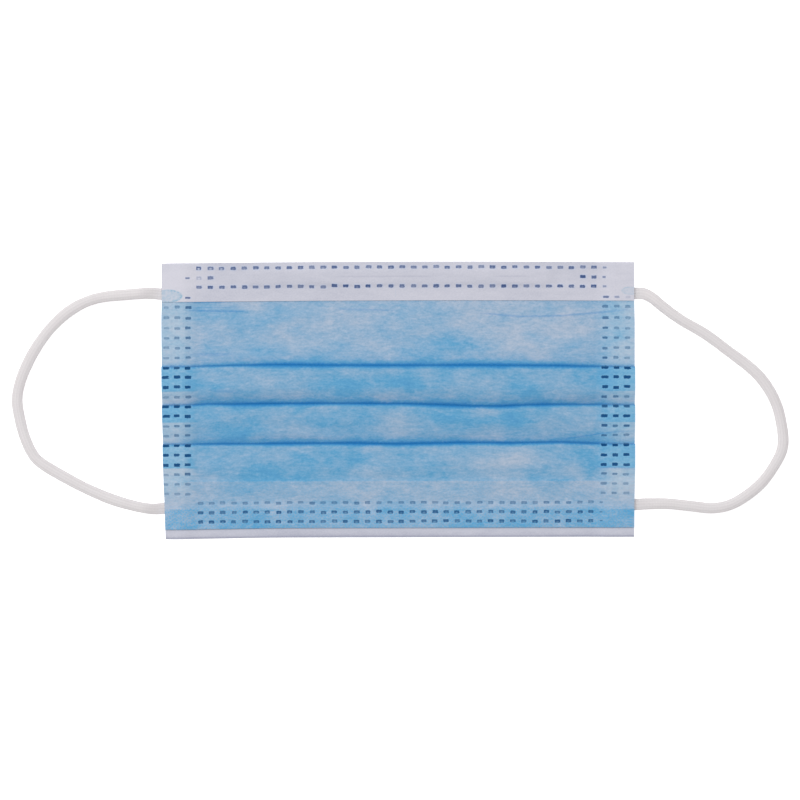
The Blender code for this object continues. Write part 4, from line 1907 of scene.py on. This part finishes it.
@dataclass
class OuterPly(PlySheet):
    """The blue outer ply, which shows from the white band to its hem.

    Attributes:
        line_below: How far below a pleat's edge its dark line runs; the line is the dyed layers seen
            edge-on, deepened with painted shade.
        line_half_width: Half a line's width where it is thinnest and where it is thickest.
        line_share: How thick each pleat's line grows in the open middle.
    """

    line_below: float = 0.1 * MM
    line_half_width: tuple[float, float] = (0.7 * MM, 1.2 * MM)
    line_share: tuple[float, ...] = (1.0, 0.62, 0.7)

    def fold_lines(self) -> list[Mark]:
        """Returns the dark lines along the three pleats' edges: dyed layers seen edge-on, deepened
        with painted shade.
        """
        lines = []
        thin, thick = self.line_half_width
        open_middle = smooth(HALF_WIDTH - np.abs(self.x), 8 * MM, 40 * MM)
        for number, (pleat, share) in enumerate(zip(PLEATS, self.line_share)):
            wander = Ripples(31 + number, 18 * MM, 1.0).at(self.x, 0.0 * self.x)
            width = thin + (thick - thin) * np.clip(share * open_middle + 0.2 * wander, 0.0, 1.4)
            dark = np.clip(0.56 + 0.3 * open_middle + 0.16 * share + 0.06 * wander, 0.3, 1.0)
            lines.append(((self.y - pleat.edge_y + self.line_below) / width, dark, True))
        return lines

    def density(self) -> np.ndarray:
        """Returns how blue the cloth is: greyer over the nose panel and the turned-up edge, bluer
        on the pleats, and bluest where three layers are pressed together at the sides."""
        cloth = FoldedCloth()
        one, two, three = (pleat.edge_y for pleat in PLEATS)
        step = LAYER_EASE
        marks = (
            (CHIN_Y, 0.58),
            (cloth.hem_y - step, 0.66),
            (cloth.hem_y + step, 0.40),
            (cloth.turn_up_y - step, 0.38),
            (cloth.turn_up_y + step, 0.72),
            (cloth.turn_up_y + 4 * MM, 0.66),
            (three - step, 0.66),
            (three + step, 0.70),
            (three + 4 * MM, 0.70),
            (two - step, 0.70),
            (two + step, 0.72),
            (two + 4 * MM, 0.72),
            (one - step, 0.68),
            (one + step, 0.62),
            (one + 5 * MM, 0.40),
            (NOSE_Y, 0.34),
        )
        density = np.interp(self.y, *zip(*marks))
        strip = smooth(HALF_WIDTH - np.abs(self.x), SIDE_STRIP, 4.0 * MM)
        pressed = smooth(HALF_WIDTH - np.abs(self.x), SIDE_STRIP, 10.5 * MM)
        tripled = np.zeros(self.y.shape)
        for pleat in PLEATS:
            inside = smooth(self.y, pleat.hidden_y - step, pleat.hidden_y + step)
            tripled = np.maximum(tripled, inside * (self.y < pleat.edge_y))
        single = np.where(self.y > three, np.where(self.x < 0, 0.22, 0.36), 0.08)
        single = np.where(self.y < cloth.hem_y, density, single)
        density = density + (single - density) * strip * (1.0 - tripled)
        density = density + (1.0 - density) * pressed * tripled
        return self.patched(density)

    def imprint_place(self) -> np.ndarray:
        """Returns how much lighter the cloth is where the side's layers are pressed together."""
        strip = smooth(HALF_WIDTH - np.abs(self.x), SIDE_STRIP, 6.0 * MM)
        light = 0.22 * strip * smooth(self.y, FoldedCloth().hem_y, FoldedCloth().turn_up_y)
        return np.stack([np.full(self.y.shape, 0.9), 0.0 * light, light], axis=-1)

    def bonds(self) -> np.ndarray:
        """Returns how plainly the point bonds show: mostly in the hem and in its left corner."""
        cloth = FoldedCloth()
        in_hem = smooth(self.y, cloth.hem_y + 0.5 * MM, cloth.hem_y)
        turned = smooth(self.y, cloth.turn_up_y + 0.5 * MM, cloth.turn_up_y)
        corner = smooth(self.x, -72 * MM, -78 * MM)
        return 0.08 + 0.2 * turned + (0.5 + 0.25 * corner) * in_hem


@dataclass
class InnerPly(PlySheet):
    """The white inner ply: the band over the nose edge, the mask's whole back and the strip below
    the outer ply's hem.

    Attributes:
        imprint_size: Half the width and height of the mark over a cord's end.
        line_in: How far along the cloth past the chin edge's turn its grey line of painted shade
            runs.
        line_half_width: Half that line's width.
        turn_shade_tone: How dark that painted shade is.
    """

    imprint_size: tuple[float, float] = (5.4 * MM, 2.5 * MM)
    line_in: float = 0.3 * MM
    line_half_width: float = 0.8 * MM
    turn_shade_tone: float = 0.45

    def fold_lines(self) -> list[Mark]:
        """Returns the grey line of painted shade along the turn at the chin edge."""
        turn = np.argmax(self.y[len(self.y) // 2] == self.y[len(self.y) // 2].min())
        along = self.grid.length - self.grid.length[:, turn, None]
        return [((along - self.line_in) / self.line_half_width, self.turn_shade_tone, True)]

    def imprint_place(self) -> np.ndarray:
        """Places the blue-tinted marks over the cords' welded ends at the nose edge."""
        marks = np.full((*self.y.shape, 3), FAR)
        on_band = self.point_runs() == 0
        for middle_x, middle_y, size, plain in (
            (-85.3 * MM, 38.7 * MM, 1.0, 0.95),
            (86.0 * MM, 40.2 * MM, 0.62, 0.5),
        ):
            across = (self.x - middle_x) / (self.imprint_size[0] * size)
            along = (self.y - middle_y) / (self.imprint_size[1] * size)
            mark = np.stack([across, along, plain * on_band + 0.0 * across], axis=-1)
            marks = np.where((self.x * middle_x > 0)[..., None], mark, marks)
        return marks

    def density(self) -> np.ndarray:
        """Returns how grey the cloth is: a little more so along its shown edges."""
        grey = 0.8 + 0.35 * smooth(self.y, FoldedCloth().chin_strip_y + 1 * MM, CHIN_Y)
        out = smooth(np.abs(self.x), HALF_WIDTH - 18 * MM, HALF_WIDTH - 8 * MM)
        out = out * np.where(self.x < 0, 0.75, 0.4)
        return self.patched(grey - out * smooth(self.y, 20 * MM, 30 * MM))


def falling_runs(edges: Sequence[float], first: int, pressed: int) -> tuple[ShownRun, ...]:
    """Makes the shown stretches that fall from each edge to the next one.

    Args:
        edges: The y of the edges, from the nose edge down.
        first: The first stretch's number.
        pressed: Which way the welds press them.

    Returns:
        The stretches.
    """
    ends = enumerate(zip(edges, edges[1:]), start=first)
    return tuple(ShownRun(number, True, low, high, pressed) for number, (high, low) in ends)


def outer_runs(cloth: FoldedCloth) -> tuple[ShownRun, ...]:
    """Returns the stretches of the outer ply that show."""
    edges = [cloth.band_y, *(pleat.edge_y for pleat in PLEATS), cloth.chin_strip_y + 0.3 * MM]
    return falling_runs(edges, 0, -1)


def inner_runs(cloth: FoldedCloth) -> tuple[ShownRun, ...]:
    """Returns the stretches of the inner ply that show: its band, its back and its chin strip."""
    top, bottom = NOSE_Y - TURN_ROOM, CHIN_Y + TURN_ROOM
    band = ShownRun(0, False, cloth.band_y, top, -1)
    back = falling_runs([top, *(pleat.hidden_y for pleat in PLEATS), bottom], 1, 1)
    strip = ShownRun(len(PLEATS) + 1, False, bottom, cloth.chin_strip_y, 0)
    return (band, *back, strip)


@dataclass
class NoseWire:
    """The coated wire under the band, which keeps its CAD solid and gets its material."""

    node: str = "nose_wire"

    def dress(self) -> bpy.types.Object:
        """Gives the wire its material.

        Returns:
            The wire's object.
        """
        wire = bpy.data.objects[self.node]
        finish = CoatedWireFinish().make()
        for slot in wire.material_slots:
            slot.material = finish
        if not wire.material_slots:
            wire.data.materials.append(finish)
        return wire


LEFT_LOOP = EarLoop(
    node="ear_loop_left",
    side=Side.LEFT,
    ends=(39.3 * MM, -40.2 * MM),
    route=(
        (5.5, 39.6), (14.0, 39.0), (22.6, 38.1), (29.2, 36.0), (35.3, 32.4), (41.0, 27.2),
        (45.7, 21.2), (49.5, 14.6), (52.5, 7.4), (53.9, 0.4), (53.0, -6.6), (50.9, -14.3),
        (47.7, -20.7), (43.9, -24.1), (36.8, -28.3), (28.3, -32.8), (19.4, -36.6), (10.8, -39.2),
        (4.0, -40.4),
    ),
)

RIGHT_LOOP = EarLoop(
    node="ear_loop_right",
    side=Side.RIGHT,
    ends=(39.6 * MM, -38.8 * MM),
    route=(
        (3.6, 39.5), (6.7, 37.9), (10.6, 34.7), (17.0, 30.0), (26.5, 24.4), (34.9, 18.2),
        (43.8, 11.4), (49.2, 5.2), (53.0, -2.3), (55.0, -11.0), (55.1, -17.2), (53.1, -22.4),
        (48.4, -29.5), (42.7, -34.7), (35.8, -38.8), (29.0, -40.1), (21.8, -39.4), (13.0, -38.5),
        (6.0, -38.5),
    ),
)

# How far each pleat's edge wanders off its straight line: x and the distance, in millimetres.
PLEAT_SWAYS = (
    (
        (-77.0, 0.0), (-62.0, 0.30), (-45.0, 0.42), (-29.0, 0.15), (0.0, 0.0), (27.0, 0.12),
        (60.0, 0.05), (72.0, -0.10), (77.0, 0.0),
    ),
    (
        (-77.0, 0.0), (-70.0, 0.30), (-62.0, 0.14), (-40.0, 0.28), (-18.0, 0.25), (4.5, 0.07),
        (15.6, -0.33), (27.0, -0.76), (38.0, -0.80), (49.0, -0.27), (60.0, -0.06), (77.0, 0.0),
    ),
    (
        (-77.0, 0.0), (-51.0, 0.05), (-18.0, 0.12), (0.0, -0.25), (20.0, 0.20), (33.0, 0.30),
        (40.0, 0.12), (60.0, 0.50), (70.0, 0.10), (77.0, 0.0),
    ),
)

# Painted shade of creases in the outer ply; the creases themselves are not in its mesh.
OUTER_CREASE_SHADES = (
    CreaseShade(0, ((32.4, 32.0), (45.4, 31.0), (60.2, 31.4), (72.1, 32.3), (84.4, 33.5)), 0.32),
    CreaseShade(0, ((-77.0, 33.5), (-68.0, 33.2), (-58.0, 33.0)), 0.45),
    CreaseShade(0, ((-22.0, 33.6), (-3.0, 33.1)), 0.25),
    CreaseShade(0, ((-77.5, 36.4), (-64.0, 36.4)), 0.4),
    CreaseShade(0, ((-75.0, 17.2), (-63.0, 17.0)), 0.25, 0.9 * MM),
    CreaseShade(1, ((-68.0, 3.6), (-60.0, 3.2)), 0.22, 0.9 * MM),
    CreaseShade(2, ((59.5, -15.2), (75.5, -12.2), (84.4, -11.4)), 0.35),
    CreaseShade(3, ((74.5, -24.8), (87.0, -25.2)), 0.35, 0.7 * MM),
)

# Painted shade of faint creases in the band; the creases themselves are not in its mesh.
BAND_CREASE_SHADES = (
    CreaseShade(0, ((-22.0, 45.4), (11.0, 45.4)), 0.2, 0.45 * MM),
    CreaseShade(0, ((37.0, 45.4), (47.0, 45.4)), 0.2, 0.45 * MM),
)

OUTER_PATCHES = tuple(
    Patch((x, y), (wide, high), amount)
    for x, y, wide, high, amount in (
        (-63.0, 33.0, 13.0, 3.5, 0.22), (-30.0, 32.0, 8.0, 3.0, 0.18),
        (-70.0, 20.0, 5.0, 4.0, 0.22), (-49.0, 17.5, 10.0, 3.0, 0.36),
        (15.0, 20.0, 12.0, 6.0, 0.52), (16.0, 31.5, 8.0, 4.0, 0.25), (44.0, 26.0, 14.0, 7.0, -0.30),
        (70.0, 26.0, 6.0, 4.0, -0.18), (-48.0, 7.0, 9.0, 3.4, -0.18), (-22.0, 7.0, 12.0, 5.0, 0.36),
        (6.0, 6.0, 14.0, 4.0, 0.24), (47.0, 3.5, 7.0, 3.2, 0.26), (60.0, 6.0, 11.0, 3.6, -0.26),
        (-70.0, -6.0, 6.0, 3.4, 0.30), (-43.0, -7.5, 7.0, 3.4, -0.24),
        (-60.0, -11.5, 7.0, 3.2, 0.38), (-28.0, -8.5, 9.0, 5.0, 0.34),
        (-1.0, -9.0, 9.0, 5.0, -0.42), (20.0, -6.0, 11.0, 4.0, 0.33), (41.0, -7.5, 8.0, 4.0, 0.42),
        (57.0, -10.0, 7.0, 4.0, -0.30), (-29.0, -20.0, 9.0, 2.8, 0.30),
        (50.0, 31.0, 7.0, 3.0, -0.15), (-49.0, -27.0, 9.0, 3.4, 0.45),
        (-70.0, -29.0, 7.0, 2.0, -0.22), (-71.0, -22.5, 6.0, 4.0, 0.32),
        (-4.0, -25.5, 7.0, 4.0, -0.20), (14.0, -24.0, 5.0, 5.0, 0.18),
        (40.0, -22.0, 14.0, 5.0, -0.42), (51.0, -25.0, 5.0, 3.0, 0.22),
        (71.0, -24.0, 4.0, 6.0, 0.25), (-29.0, -32.0, 10.0, 2.0, -0.25),
        (-53.0, -33.0, 11.0, 3.0, 0.34), (-82.0, -43.5, 8.0, 3.0, -0.25),
        (84.0, -43.5, 7.0, 3.0, -0.22),
    )
)


def main() -> None:
    """Builds and dresses the mask, piece by piece."""
    logging.basicConfig(level=logging.INFO, format="%(message)s")
    studio = Studio()
    studio.add_camera()
    elastic = KnittedElasticFinish().make()
    pieces = [loop.build(elastic) for loop in (LEFT_LOOP, RIGHT_LOOP)]
    cloth, welds = FoldedCloth(), WeldPattern()
    columns = np.stack([welds.column_stops(0.0), welds.column_stops(1.0)])
    left_edge = -HALF_WIDTH + LEFT_LEAN
    inside = left_edge + LEAST_STEP * np.arange(columns.shape[1])
    columns[1] = np.maximum(columns[1], inside)
    lines = cloth.plies(*Stations().shares(columns[0]))
    white = WHITE_SPUNBOND.make()
    sheets = (
        OuterPly(
            Ply.OUTER, BLUE_SPUNBOND.make(), "blue_spunbond", outer_runs(cloth),
            crease_shades=OUTER_CREASE_SHADES,
            patches=OUTER_PATCHES,
            extra_stops=tuple(
                y + out
                for y in (cloth.turn_up_y, *(pleat.hidden_y for pleat in PLEATS))
                for out in (-LAYER_EASE, LAYER_EASE)
            ),
        ),
        PlySheet(
            Ply.FILTER, MeltblownFinish().make(), "white_meltblown", (), half_thickness=0.08 * MM
        ),
        InnerPly(
            Ply.INNER, white, "white_spunbond", inner_runs(cloth), longest=(3.2 * MM, 7.0 * MM),
            crease_shades=BAND_CREASE_SHADES,
        ),
    )
    pieces += [sheet.build(lines[sheet.ply], columns, welds) for sheet in sheets]
    pieces.append(NoseWire().dress())
    studio.add_light()
    studio.add_table()
    bpy.context.scene.view_settings.view_transform = "Standard"
    for piece in pieces:
        log.info("%s: %d faces", piece.name, len(piece.data.polygons))


if __name__ == "__main__":
    main()
